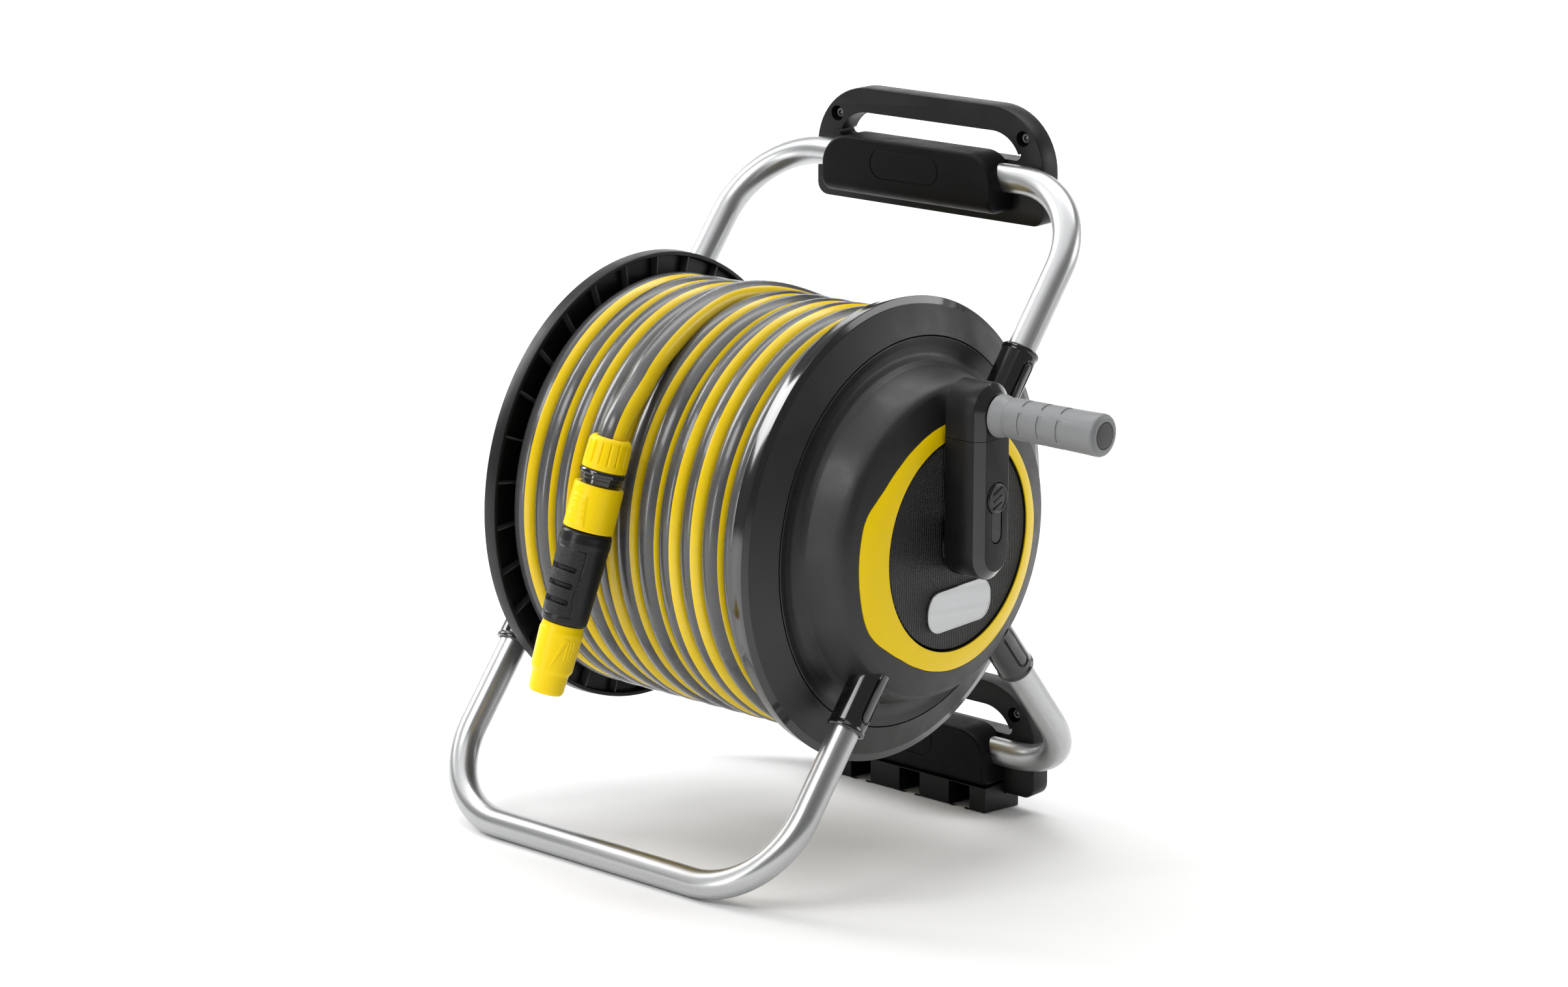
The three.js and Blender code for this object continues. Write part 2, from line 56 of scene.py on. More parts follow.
# %% The drawing frame
record = frame["record"]
hub = Vector(next(j for j in frame["joints"] if j["name"] == "reel_turn")["pos_m"])
back = next(m for m in record["mounts"] if m["name"] == "top_plate_back")["axis"]
LEAN = math.atan2(back[2], back[1])
MM = 0.001
STAND = Matrix.Translation(hub) @ Matrix.Rotation(LEAN, 4, "X") @ Matrix.Scale(MM, 4)
print("lean", round(math.degrees(LEAN), 2), "degrees, axle", round(hub.z, 4), "m above the floor")

# %% [markdown]
# The camera comes first.
# A long lens from three metres away keeps parallel tubes nearly parallel. Its direction is
# given as two angles, azimuth round the object and elevation above the axle's level.

# %% Camera
AZIMUTH = math.radians(40.606)
ELEVATION = math.radians(14.879)
CAMERA_PLACE = Vector((1960.98, -2261.94, 800.17))
LENS_MM = 93.48
SENSOR_MM = 36.0

sin_a, cos_a = math.sin(AZIMUTH), math.cos(AZIMUTH)
sin_e, cos_e = math.sin(ELEVATION), math.cos(ELEVATION)
aim = Matrix(((cos_a, -sin_a * sin_e, sin_a * cos_e),
              (sin_a, cos_a * sin_e, -cos_a * cos_e),
              (0.0, cos_e, sin_e)))
camera = bpy.data.objects.new("camera", bpy.data.cameras.new("camera"))
bpy.context.scene.collection.objects.link(camera)
turn = Matrix.Rotation(LEAN, 3, "X") @ aim
camera.matrix_world = Matrix.Translation(STAND @ CAMERA_PLACE) @ turn.to_4x4()
camera.data.sensor_width = SENSOR_MM
camera.data.lens = LENS_MM
bpy.context.scene.camera = camera
print("camera at", [round(v, 3) for v in camera.location])

# %% [markdown]
# ## Tools for making meshes
# Most of the reel is turned: a profile swept round an axis. `turned` does that for a list
# of rings, and a ring's place or radius may also be a function of the angle. That gives
# flutes, pads and odd-shaped windows without any cutting, which keeps the mesh clean.

# %% Rings around an axis
def value(thing, angle):
    return thing(angle) if callable(thing) else thing


def turned(rings, sides=144):
    """Vertices and faces of rings (place along X, radius). Rings of radius 0 close the ends."""
    angles = [2 * math.pi * i / sides for i in range(sides)]
    verts, rows = [], []
    for along, radius in rings:
        if radius == 0:
            verts.append((value(along, 0), 0.0, 0.0))
            rows.append([len(verts) - 1] * sides)
            continue
        rows.append(list(range(len(verts), len(verts) + sides)))
        for a in angles:
            r = value(radius, a)
            verts.append((value(along, a), r * math.cos(a), r * math.sin(a)))
    pairs = list(zip(rows, rows[1:]))
    if rings[0][1] != 0:
        pairs.append((rows[-1], rows[0]))
    faces = []
    for low, high in pairs:
        for i in range(sides):
            j = (i + 1) % sides
            corners = [low[i], low[j], high[j], high[i]]
            kept = list(dict.fromkeys(corners))
            if len(kept) > 2:
                faces.append(kept)
    return verts, faces


# %% [markdown]
# Moulded plastic has no knife edges. `eased` rounds every corner of a profile or outline
# by running a small curve through it, so that each edge catches a thin line of light.

# %% Rounded corners
def eased(points, radius, closed=True, steps=3):
    out = []
    count = len(points)
    for i, p in enumerate(points):
        p = np.array(p, float)
        if not closed and i in (0, count - 1):
            out.append(tuple(p))
            continue
        before = np.array(points[i - 1], float)
        after = np.array(points[(i + 1) % count], float)
        r = radius[i] if isinstance(radius, (list, tuple)) else radius
        cut = min(r, 0.45 * np.linalg.norm(before - p), 0.45 * np.linalg.norm(after - p))
        if cut < 0.02:
            out.append(tuple(p))
            continue
        a = p + (before - p) / np.linalg.norm(before - p) * cut
        b = p + (after - p) / np.linalg.norm(after - p) * cut
        for k in range(steps + 1):
            t = k / steps
            out.append(tuple((1 - t) ** 2 * a + 2 * t * (1 - t) * p + t * t * b))
    return out


# %% [markdown]
# Flat parts are outlines given a thickness. `layered` stacks copies of one outline at
# different heights and scales of inset, which makes plates with a soft or chamfered rim.

# %% Stacked outlines
def layered(layers):
    """Joins outlines with equal point counts; the first and last are closed with a face."""
    count = len(layers[0])
    verts = [tuple(p) for layer in layers for p in layer]
    faces = [list(range(count))[::-1]]
    for k in range(len(layers) - 1):
        low, high = k * count, (k + 1) * count
        for i in range(count):
            j = (i + 1) % count
            faces.append([low + i, low + j, high + j, high + i])
    top = (len(layers) - 1) * count
    faces.append(list(range(top, top + count)))
    return verts, faces


def inset(outline, distance):
    """A closed outline moved inwards along its corner bisectors."""
    pts = np.array(outline, float)
    area = 0.5 * np.sum(pts[:, 0] * np.roll(pts[:, 1], -1) - pts[:, 1] * np.roll(pts[:, 0], -1))
    ahead = np.roll(pts, -1, 0) - pts
    behind = pts - np.roll(pts, 1, 0)
    ahead /= np.linalg.norm(ahead, axis=1)[:, None] + 1e-12
    behind /= np.linalg.norm(behind, axis=1)[:, None] + 1e-12
    mean = ahead + behind
    mean /= np.linalg.norm(mean, axis=1)[:, None] + 1e-12
    normal = np.column_stack([-mean[:, 1], mean[:, 0]]) * np.sign(area)
    return [tuple(p) for p in pts + normal * distance]


# %% [markdown]
# `piece` turns such lists into an object: it moves the points to their real place, marks
# edges sharper than an angle, hangs the piece on its body and hides the CAD parts it stands for.

# %% Making a piece
SAME_POINT = 1e-6


def shade(mesh, sharp=32):
    """Smooth shading over small faces, sharp edges above an angle, flat shading of big flats."""
    mesh.shade_smooth()
    for face in mesh.polygons:
        if len(face.vertices) > 4:
            face.use_smooth = False
    mesh.set_sharp_from_angle(angle=math.radians(sharp))


def new_object(name, data):
    obj = bpy.data.objects.new(name, data)
    bpy.context.scene.collection.objects.link(obj)
    return obj


def closed_mesh(name, shape, place=None, merge=True):
    """A mesh in its real place, with its normals outwards and, if asked, no doubled points."""
    verts, faces = shape
    carry = STAND @ place if place else STAND
    mesh = bpy.data.meshes.new(name)
    mesh.from_pydata([carry @ Vector(v) for v in verts], [], faces)
    tidy = bmesh.new()
    tidy.from_mesh(mesh)
    if merge:
        bmesh.ops.remove_doubles(tidy, verts=tidy.verts, dist=SAME_POINT)
    bmesh.ops.recalc_face_normals(tidy, faces=tidy.faces)
    tidy.to_mesh(mesh)
    tidy.free()
    return mesh


def piece(name, shape, finish, body, stands_for=(), place=None, sharp=32):
    mesh = closed_mesh(name, shape, place)
    mesh.materials.append(finish)
    shade(mesh, sharp)
    obj = new_object(name, mesh)
    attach(obj, body)
    if stands_for:
        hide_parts(*stands_for)
    return obj


def cut(obj, tool_shape, place=None):
    """Cuts a shape out of a piece, and keeps the result as plain mesh."""
    tool = new_object("cutter", closed_mesh("cutter", tool_shape, place, merge=False))
    boolean = obj.modifiers.new("cut", "BOOLEAN")
    boolean.object = tool
    boolean.solver = "EXACT"
    view = bpy.context.evaluated_depsgraph_get()
    view.update()
    result = bpy.data.meshes.new_from_object(obj.evaluated_get(view))
    obj.modifiers.remove(boolean)
    obj.data = result
    shade(result)
    bpy.data.objects.remove(tool)
    return obj


def store(obj, name, data):
    """One number, or one vector, for each point of a piece, for its material to read."""
    data = np.array(data, np.float32)
    is_vector = data.ndim == 2
    mark = obj.data.attributes.new(name, "FLOAT_VECTOR" if is_vector else "FLOAT", "POINT")
    mark.data.foreach_set("vector" if is_vector else "value", data.ravel())


# %% [markdown]
# ## Finishes
# Real plastic is never one flat colour. Each finish mixes three things: a slow blotch that
# shifts colour and gloss a little, a fine grain as bump, and the shader's own gloss. The
# numbers that are the same everywhere are set on the shader itself.

# %% A finish for moulded plastic
def nodes_of(name):
    material = bpy.data.materials.new(name)
    material.use_nodes = True
    tree = material.node_tree
    return material, tree, tree.nodes["Principled BSDF"]


def link(tree, a, out, b, into):
    tree.links.new(a.outputs[out], b.inputs[into])


def attribute(tree, name):
    node = tree.nodes.new("ShaderNodeAttribute")
    node.attribute_name = name
    return node


def times(tree, vector, factors):
    """A vector with each of its parts multiplied by a number."""
    node = tree.nodes.new("ShaderNodeVectorMath")
    node.operation = "MULTIPLY"
    node.inputs[1].default_value = factors
    link(tree, vector, "Vector", node, 0)
    return node


def wave(tree, vector, direction, scale, distortion=0.0):
    node = tree.nodes.new("ShaderNodeTexWave")
    node.bands_direction = direction
    node.inputs["Scale"].default_value = scale
    node.inputs["Distortion"].default_value = distortion
    link(tree, vector, "Vector", node, "Vector")
    return node


def combine(tree, operation, a, b):
    """One number made out of the numbers of two nodes."""
    node = tree.nodes.new("ShaderNodeMath")
    node.operation = operation
    tree.links.new(a, node.inputs[0])
    tree.links.new(b, node.inputs[1])
    return node


def mixed(tree, factor, a, b):
    """A colour between two colours; each is a plain colour or the output of another node."""
    node = tree.nodes.new("ShaderNodeMix")
    node.data_type = "RGBA"
    tree.links.new(factor, node.inputs["Factor"])
    for color, name in ((a, "A"), (b, "B")):
        if isinstance(color, tuple):
            node.inputs[name].default_value = (*color, 1)
        else:
            tree.links.new(color, node.inputs[name])
    return node


def add_bump(tree, shader, height, depth):
    """Puts one more relief, in millimetres, under whatever relief the shader already has."""
    node = tree.nodes.new("ShaderNodeBump")
    node.inputs["Distance"].default_value = depth * MM
    tree.links.new(height, node.inputs["Height"])
    if shader.inputs["Normal"].links:
        tree.links.new(shader.inputs["Normal"].links[0].from_socket, node.inputs["Normal"])
    link(tree, node, "Normal", shader, "Normal")


def noise(tree, scale, detail=2.0, source=None):
    n = tree.nodes.new("ShaderNodeTexNoise")
    n.inputs["Scale"].default_value = scale
    n.inputs["Detail"].default_value = detail
    if source:
        tree.links.new(source, n.inputs["Vector"])
    else:
        where = tree.nodes.new("ShaderNodeTexCoord")
        link(tree, where, "Object", n, "Vector")
    return n


def spread(tree, source, low, high, from_low=0.3, from_high=0.7):
    m = tree.nodes.new("ShaderNodeMapRange")
    m.inputs["From Min"].default_value = from_low
    m.inputs["From Max"].default_value = from_high
    m.inputs["To Min"].default_value = low
    m.inputs["To Max"].default_value = high
    tree.links.new(source, m.inputs["Value"])
    return m.outputs["Result"]


def blotch(tree, shader, color, amount, scale):
    """The colour, a little lighter and darker in slow patches."""
    darker = tuple(c * (1 - amount) for c in color)
    lighter = tuple(min(1, c * (1 + amount)) for c in color)
    mix = mixed(tree, noise(tree, scale, 3.0).outputs["Fac"], darker, lighter)
    link(tree, mix, "Result", shader, "Base Color")


def plastic(name, slot, color, rough, fine=900, depth=0.02, patch=0.08, coat=0.0, specular=0.5):
    material, tree, shader = nodes_of(name)
    blotch(tree, shader, color, patch, 18.0)
    wear = noise(tree, 60.0, 4.0)
    gloss = spread(tree, wear.outputs["Fac"], rough * 0.88, rough * 1.14)
    tree.links.new(gloss, shader.inputs["Roughness"])
    add_bump(tree, shader, noise(tree, fine, 3.0).outputs["Fac"], depth)
    shader.inputs["Specular IOR Level"].default_value = specular
    shader.inputs["Coat Weight"].default_value = coat
    shader.inputs["Coat Roughness"].default_value = 0.08
    material["slot"] = slot
    return material


matt_black = plastic("moulded black, fine grain", "black_matt", (0.0055, 0.0055, 0.0057), 0.42, 1100, 0.05,
                     specular=0.24)
inner_black = plastic("moulded black, inside", "black_matt", (0.004, 0.004, 0.0042), 0.4, 700, 0.02,
                      specular=0.35)
dark_grey = plastic("moulded dark grey, fine grain", "dark_grey", (0.012, 0.012, 0.0122), 0.42, 1000, 0.06,
                    specular=0.5)
cover_black = plastic("moulded black, covers", "black_matt", (0.004, 0.004, 0.0042), 0.45, 1100, 0.05,
                      specular=0.1)
# the ribs are coloured lighter than the flange's black: a painted highlight on their thin lit edges
rib_painted_highlight = plastic("rib edge, painted highlight", "black_matt", (0.05, 0.05, 0.052), 0.4, 900, 0.02)
piano_black = plastic("polished black", "black_gloss", (0.006, 0.006, 0.0065), 0.13, 300, 0.002, coat=0.6)
satin_black = plastic("satin black", "black_matt", (0.008, 0.008, 0.0082), 0.27, 800, 0.01, specular=0.4)
yellow = plastic("yellow plastic", "yellow", (0.9, 0.63, 0.0), 0.34, 500, 0.006, 0.03, specular=0.25)
grip_grey = plastic("soft grey grip", "grip_grey", (0.215, 0.219, 0.223), 0.42, 1300, 0.03, 0.05)
cap_grey = plastic("dark end cap", "black_matt", (0.05, 0.051, 0.052), 0.5, 1300, 0.03)
seal_rubber = plastic("seal rubber", "rubber_black", (0.012, 0.012, 0.012), 0.7, 400, 0.02)
print("plastics:", len(bpy.data.materials))

# %% [markdown]
# Drawn aluminium tube has faint lines along its length, left by the die. The metal finish
# stretches its noise along the tube, using two numbers stored on the mesh: how far along
# the tube a point is, and where it is round the section.

# %% A finish for drawn and brushed metal
def metal(name, slot, color, rough, streak=True, depth=0.004):
    material, tree, shader = nodes_of(name)
    shader.inputs["Metallic"].default_value = 1.0
    blotch(tree, shader, color, 0.04, 25.0)
    if streak:
        across, lengthways = 220.0, 3.0
        scaled = times(tree, attribute(tree, "lengthwise"), (lengthways, across, across))
        source = noise(tree, 1.0, 3.0, scaled.outputs["Vector"])
    else:
        source = noise(tree, 400.0, 3.0)
    gloss = spread(tree, source.outputs["Fac"], rough * 0.8, rough * 1.3)
    tree.links.new(gloss, shader.inputs["Roughness"])
    add_bump(tree, shader, source.outputs["Fac"], depth)
    material["slot"] = slot
    return material


aluminium = metal("satin aluminium", "aluminium", (0.5, 0.505, 0.51), 0.32)
steel = metal("plated steel", "steel", (0.6, 0.61, 0.62), 0.28, streak=False)
# steel for the screw heads, darkened as painted shade of the deep countersunk holes they sit in
screw_steel_painted_shade = metal("steel, darkened as painted shade", "steel", (0.12, 0.12, 0.125), 0.3, streak=False)
brass = metal("turned brass", "brass", (0.55, 0.38, 0.13), 0.3, streak=False)
print("metals: aluminium, steel, brass")

# %% [markdown]
# ## The hose
# Over twenty-six metres of it, in three layers on the drum. The two hidden layers are plain
# helices, one turn per hose width. The turns of the outer layer lie straight over the front
# and step sideways at the back, as a hand-wound hose does. The free end climbs onto that
# layer at the back and crosses over the top to the front, where the coupling hangs. So the
# route is a list of points in drum terms: angle, place along the axle and radius.

# %% The hose's route
HOSE_R = 10.5
PITCH = 21.1
LEFT_TURN, RIGHT_TURN = -101.0, 107.0
LAYER_RADII = [114.1, 132.3, 150.5]
CROSSING_R = 171.8
NUT_TOP = np.array([-0.2, -166.0, 80.3])
TIP_END = np.array([-21.5, -218.0, -105.5])
DOWN = (TIP_END - NUT_TOP) / np.linalg.norm(TIP_END - NUT_TOP)
span = RIGHT_TURN - LEFT_TURN
travel = 360 * span / PITCH

end_outer = 244.0
END_ANGLE = 498
TURNS, SPACING = 11, 20.85
outer_start = 180 - 360 * (TURNS - 1) - 110
middle_end = outer_start - 110
middle_start = middle_end - travel
inner_end = middle_start - 100
inner_start = inner_end - travel
keys = [
    (inner_start - 70, -86.0, 104.0), (inner_start - 30, -97.0, 112.0),
    (inner_start, LEFT_TURN, LAYER_RADII[0]), (inner_end, RIGHT_TURN, LAYER_RADII[0]),
    (inner_end + 40, RIGHT_TURN, LAYER_RADII[0]), (middle_start, RIGHT_TURN, LAYER_RADII[1]),
    (middle_end, LEFT_TURN, LAYER_RADII[1]), (middle_end + 40, LEFT_TURN, LAYER_RADII[1]),
]
for k in range(TURNS - 1, -1, -1):
    # each outer turn lies straight over the front, and steps sideways at the back
    front, x = 180 - 360 * k, RIGHT_TURN - SPACING * k
    keys += [(front - 110, x, LAYER_RADII[2]), (front + 40 if k else end_outer, x, LAYER_RADII[2])]
keys += [(end_outer + 8, 105.0, 153.5), (end_outer + 18, 101.0, 163.0), (end_outer + 30, 94.0, 171.0)]
keys += [(angle, 93 - 0.43 * (angle - 276), CROSSING_R) for angle in range(286, 375, 12)]
keys += [(376, 46, CROSSING_R), (388, 36, 169), (400, 24, 162), (410, 14, 156), (420, 5, 153),
         (428, -1, 153), (436, -6, 154.5), (444, -11.5, 156.5), (451, -14.8, 157.5), (457, -15.9, 158.8),
         (464, -14.4, 160.3), (471, -12.4, 162.2), (477.5, -10.4, 164.6), (484.5, -7.9, 167.7),
         (491, -5.5, 171.3), (498, -3.2, 175.4)]
key_angles = np.array([k[0] for k in keys], float)


def along_route(angle):
    x = np.interp(angle, key_angles, [k[1] for k in keys])
    r = np.interp(angle, key_angles, [k[2] for k in keys])
    return x, r


coarse = np.arange(key_angles[0], outer_start - 60, 12.0)
fine = np.arange(outer_start - 60, END_ANGLE + 0.1, 3.0)
angles = np.concatenate([coarse, fine])
SOFTENING = 5
smooth = []
for column in along_route(angles):
    kernel = np.hanning(SOFTENING + 2)[1:-1]
    padded = np.pad(column, SOFTENING // 2, mode="edge")
    smooth.append(np.convolve(padded, kernel / kernel.sum(), mode="valid"))
route_x, route_r = smooth
turn_rad = np.radians(angles)
route = np.column_stack([route_x, route_r * np.cos(turn_rad), route_r * np.sin(turn_rad)])
start_of_drop = route[-1]
DROP_STEPS = 15
for t in np.linspace(0, 1, DROP_STEPS + 1)[1:]:
    # a smooth bend from the crossing into the line of the coupling
    tangent = np.array([0.02, -math.sin(math.radians(END_ANGLE)), math.cos(math.radians(END_ANGLE))])
    inside = NUT_TOP + DOWN * 6
    reach = np.linalg.norm(inside - start_of_drop)
    p1, p2 = start_of_drop + tangent * reach * 0.35, inside - DOWN * reach * 0.4
    point = ((1 - t) ** 3 * start_of_drop + 3 * (1 - t) ** 2 * t * p1
             + 3 * (1 - t) * t * t * p2 + t ** 3 * inside)
    route = np.vstack([route, point])

# %% [markdown]
# The hose is grey with one broad yellow stripe. Which part of the stripe shows depends on
# how the hose happened to twist as it was wound, so each turn shows another width of it.
# Each ring of the tube stores how far round from the stripe every point is; the material
# only has to compare that number with half the stripe's width.

# %% The hose's mesh
SIDES = 24
STRIPE_HALF = 50.0
# where the stripe starts, in degrees round the section, for the outer layer's turns
stripe_starts = [25, 42, 29, 47, 22, 36, 50, 24, 22, 46, 60, 45, 45]
stripe_turns = [*range(TURNS), 10.35, 11]
turn_number = (np.degrees(np.unwrap(np.arctan2(route[:, 2], route[:, 1]))))
turn_number = turn_number - turn_number[-1 - DROP_STEPS] + END_ANGLE
outer_turns = (turn_number - outer_start - 100) / 360
twist = np.interp(outer_turns, stripe_turns, stripe_starts) + STRIPE_HALF

tangents = np.gradient(route, axis=0)
tangents /= np.linalg.norm(tangents, axis=1)[:, None]
outward = route * np.array([0, 1, 1])
outward /= np.linalg.norm(outward, axis=1)[:, None]
outward -= tangents * np.sum(outward * tangents, axis=1)[:, None]
outward /= np.linalg.norm(outward, axis=1)[:, None]
sideways = np.cross(outward, tangents)
sideways *= np.sign(sideways[:, :1])
around = np.radians(np.arange(SIDES) * 360 / SIDES)
rings = (route[:, None, :] + HOSE_R * (np.cos(around)[None, :, None] * outward[:, None, :]
                                       + np.sin(around)[None, :, None] * sideways[:, None, :]))
hose_verts = rings.reshape(-1, 3)
hose_faces = []
for k in range(len(route) - 1):
    for i in range(SIDES):
        j = (i + 1) % SIDES
        hose_faces.append((k * SIDES + i, k * SIDES + j, (k + 1) * SIDES + j, (k + 1) * SIDES + i))
hose_faces.append(tuple(range(SIDES)))
hose_faces.append(tuple(range((len(route) - 1) * SIDES, len(route) * SIDES)))
stripe = np.cos(around[None, :] - np.radians(twist)[:, None]).reshape(-1)
gone = np.concatenate([[0], np.cumsum(np.linalg.norm(np.diff(route, axis=0), axis=1))]) * MM
lengthwise = np.column_stack([np.repeat(gone, SIDES), np.tile(np.cos(around), len(route)),
                              np.tile(np.sin(around), len(route))])
print("hose mesh:", len(hose_verts), "points")

# %% [markdown]
# Under its clear skin the hose has a braid of crossing threads. They show only where the
# light is reflected, as a fine broken sparkle. Two sets of sloping waves, one for each
# direction of thread, make the bump; the skin itself is the shader's coat on top.

# %% The hose's finish
hose_skin, tree, shader = nodes_of("hose, grey with a yellow stripe")
half = math.cos(math.radians(STRIPE_HALF))
stripe_edge = attribute(tree, "stripe").outputs["Fac"]
inside_stripe = spread(tree, stripe_edge, 0.0, 1.0, half - 0.006, half + 0.006)
patches = noise(tree, 30.0, 3.0)
greys = mixed(tree, patches.outputs["Fac"], (0.056, 0.056, 0.058), (0.074, 0.074, 0.077))
yellows = mixed(tree, patches.outputs["Fac"], (0.90, 0.61, 0.0), (0.95, 0.68, 0.0))
both = mixed(tree, inside_stripe, greys.outputs["Result"], yellows.outputs["Result"])
link(tree, both, "Result", shader, "Base Color")

# how many waves of the braid there are along the hose, and how they lean round it
THREADS_ALONG, THREADS_ROUND = 900.0, 7.0
place = attribute(tree, "lengthwise")
braids = [wave(tree, times(tree, place, (THREADS_ALONG, THREADS_ROUND * side, THREADS_ROUND)),
               "DIAGONAL", 0.5, 1.0).outputs["Fac"] for side in (1.0, -1.0)]
crossed = combine(tree, "MAXIMUM", *braids)
add_bump(tree, shader, crossed.outputs["Value"], 0.03)
rub = spread(tree, patches.outputs["Fac"], 0.22, 0.3)
tree.links.new(rub, shader.inputs["Roughness"])
shader.inputs["Coat Weight"].default_value = 0.38
shader.inputs["Coat Roughness"].default_value = 0.08
hose_skin["slot"] = "hose_skin"

hose = piece("hose", (hose_verts, hose_faces), hose_skin, "reel", ("hose_coil", "hose_tail"), sharp=60)
if len(hose.data.vertices) != len(stripe):
    raise ValueError("the hose's points were merged")
store(hose, "stripe", stripe)
store(hose, "lengthwise", lengthwise)
print("hose points kept:", len(hose.data.vertices))

# %% [markdown]
# ## Nut, coupling and nozzle
# Everything on the free end sits on one line, so it is drawn round that line. Angle 0 on
# this line faces away from the reel. The nut has flats between its flutes, the sleeve has
# two thumb pads with ribs, and the nozzle has a textured grip panel with three slots.

# %% The line of the coupling
away = np.array([0.0, *(NUT_TOP + TIP_END)[1:]])
away -= DOWN * (away @ DOWN)
away /= np.linalg.norm(away)
across = np.cross(DOWN, away)
across *= np.sign(across[0])
ON_HOSE = Matrix(((DOWN[0], away[0], across[0], NUT_TOP[0]),
                  (DOWN[1], away[1], across[1], NUT_TOP[1]),
                  (DOWN[2], away[2], across[2], NUT_TOP[2]),
                  (0, 0, 0, 1)))


def step(v, edge0, edge1):
    t = min(1.0, max(0.0, (v - edge0) / (edge1 - edge0)))
    return t * t * (3 - 2 * t)


def bump_between(v, low, high, soft):
    return step(v, low - soft, low + soft) * (1 - step(v, high - soft, high + soft))


def signed_degrees(angle):
    return (math.degrees(angle) + 180) % 360 - 180


def surfaced(profile, relief, low, high, spacing, sides):
    """Rings along a profile (place, radius); relief(place, angle) is added between low and high."""
    out = []
    for (a, ra), (b, rb) in zip(profile, profile[1:]):
        fine = a >= low - 1e-6 and b <= high + 1e-6 and b > a
        count = max(1, int((b - a) / spacing)) if fine else 1
        for k in range(count):
            t = k / count
            s, r = a + (b - a) * t, ra + (rb - ra) * t
            if fine:
                out.append((s, lambda angle, s=s, r=r: r + relief(s, angle)))
            else:
                out.append((s, r))
    out.append(profile[-1])
    return out


# %% Nut
FLUTES = 16


def flute(s, angle):
    rise = bump_between(s, 3.4, 19.5, 1.2)
    wave = abs(math.sin(angle * FLUTES / 2))
    return -0.95 * rise * (1 - step(wave, 0.05, 0.42))


nut_profile = eased([(0, 10.9), (0, 13.6), (3.0, 16.0), (20.2, 16.6), (24.4, 16.4), (24.4, 12), (6, 12),
                     (6, 10.9)], [0.5, 1.4, 1.2, 0.8, 0.9, 0.3, 0.3, 0.3])
nut = turned(surfaced(nut_profile, flute, 2.0, 21.5, 0.8, 192), 192)
piece("hose_nut_fluted", nut, yellow, "reel", ["hose_nut"], ON_HOSE)

# %% Neck of the coupling
neck_profile = eased([(24.6, 11), (24.6, 16.6), (26.2, 17.3), (28.3, 17.1), (28.8, 14.6), (31.2, 14.6),
                      (31.6, 13.8), (69.9, 13.8), (69.9, 11)], 0.35)
piece("coupling_neck_turned", turned(neck_profile, 96), piano_black, "reel", ["coupling_neck"], ON_HOSE)

# %% [markdown]
# The thumb pads widen towards the nozzle. Their outline is a slowly growing angle, and the
# three ribs are short waves added on top, so pad and ribs are real shape, not painted.

# %% Sleeve of the coupling
def thumb_pad(s, angle):
    facing = abs(signed_degrees(angle))
    facing = min(facing, 180 - facing)
    half_width = 19 + 9 * (s - 43) / 24
    pad = (1 - step(facing, half_width - 2.5, half_width + 2.5)) * bump_between(s, 44.5, 66.5, 1.3)
    ribs = sum(bump_between(s, at - 1.5, at + 1.5, 1.2) for at in (49.5, 54.8, 60.1))
    return pad * (0.75 + 0.55 * ribs * (1 - step(facing, half_width - 8, half_width - 4)))


sleeve_profile = eased([(35.8, 14.2), (35.8, 18.2), (38.5, 18.55), (68.6, 18.9), (69.6, 18.7), (69.6, 14.2)],
                       [0.3, 0.8, 0.5, 0.5, 0.8, 0.3])
sleeve = turned(surfaced(sleeve_profile, thumb_pad, 37.5, 69.0, 0.6, 216), 216)
piece("coupling_sleeve_pads", sleeve, yellow, "coupling", ["coupling_sleeve"], ON_HOSE)

# %% [markdown]
# The nozzle's grip panel is a patch of fine knurling. Cutting hundreds of tiny teeth would
# be wasteful; the panel's raised outline and its three slots are mesh, and the knurling is
# a bump pattern in the material, made from two crossing waves round the same line.

# %% Nozzle body
def panel_edge(s):
    return 52 - 5 * math.exp(-((s - 116) / 9) ** 2)


def grip_panel(s, angle):
    facing = abs(signed_degrees(angle))
    width = panel_edge(s)
    groove = math.exp(-((facing - width) / 1.3) ** 2) * bump_between(s, 84, 133.5, 1.0)
    ends = sum(math.exp(-((s - at) / 0.5) ** 2) for at in (84, 133.5)) * (1 - step(facing, width - 2, width))
    slots = sum(bump_between(s, at - 1.7, at + 1.7, 0.55) for at in (99.0, 111.3, 123.6))
    slots *= 1 - step(facing, 33, 38)
    shoulder = 0.35 * math.exp(-((s - 79) / 2.2) ** 2)
    return -0.5 * max(groove, ends) - 2.6 * slots + shoulder


body_profile = eased([(70.5, 12), (70.5, 17.6), (72.6, 19.0), (77, 19.1), (100, 18.6), (136, 17.3), (139.8,
                                                                      16.9),
                      (139.8, 12)], [0.3, 0.7, 0.9, 2, 3, 1, 0.8, 0.3])
nozzle_body = turned(surfaced(body_profile, grip_panel, 74, 138, 0.45, 200), 200)

knurled = plastic("nozzle black with knurled panel", "black_matt", (0.006, 0.0062, 0.0064), 0.33, 900, 0.01,
                  specular=0.35)
tree = knurled.node_tree
shader = tree.nodes["Principled BSDF"]
where = attribute(tree, "lengthwise")
teeth = [wave(tree, times(tree, where, (1.0, slope, 0.0)), "DIAGONAL", 0.32).outputs["Fac"]
         for slope in (1.0, -1.0)]
height = combine(tree, "MULTIPLY", *teeth)
masked = combine(tree, "MULTIPLY", height.outputs["Value"], attribute(tree, "stripe").outputs["Fac"])
add_bump(tree, shader, masked.outputs["Value"], 0.35)

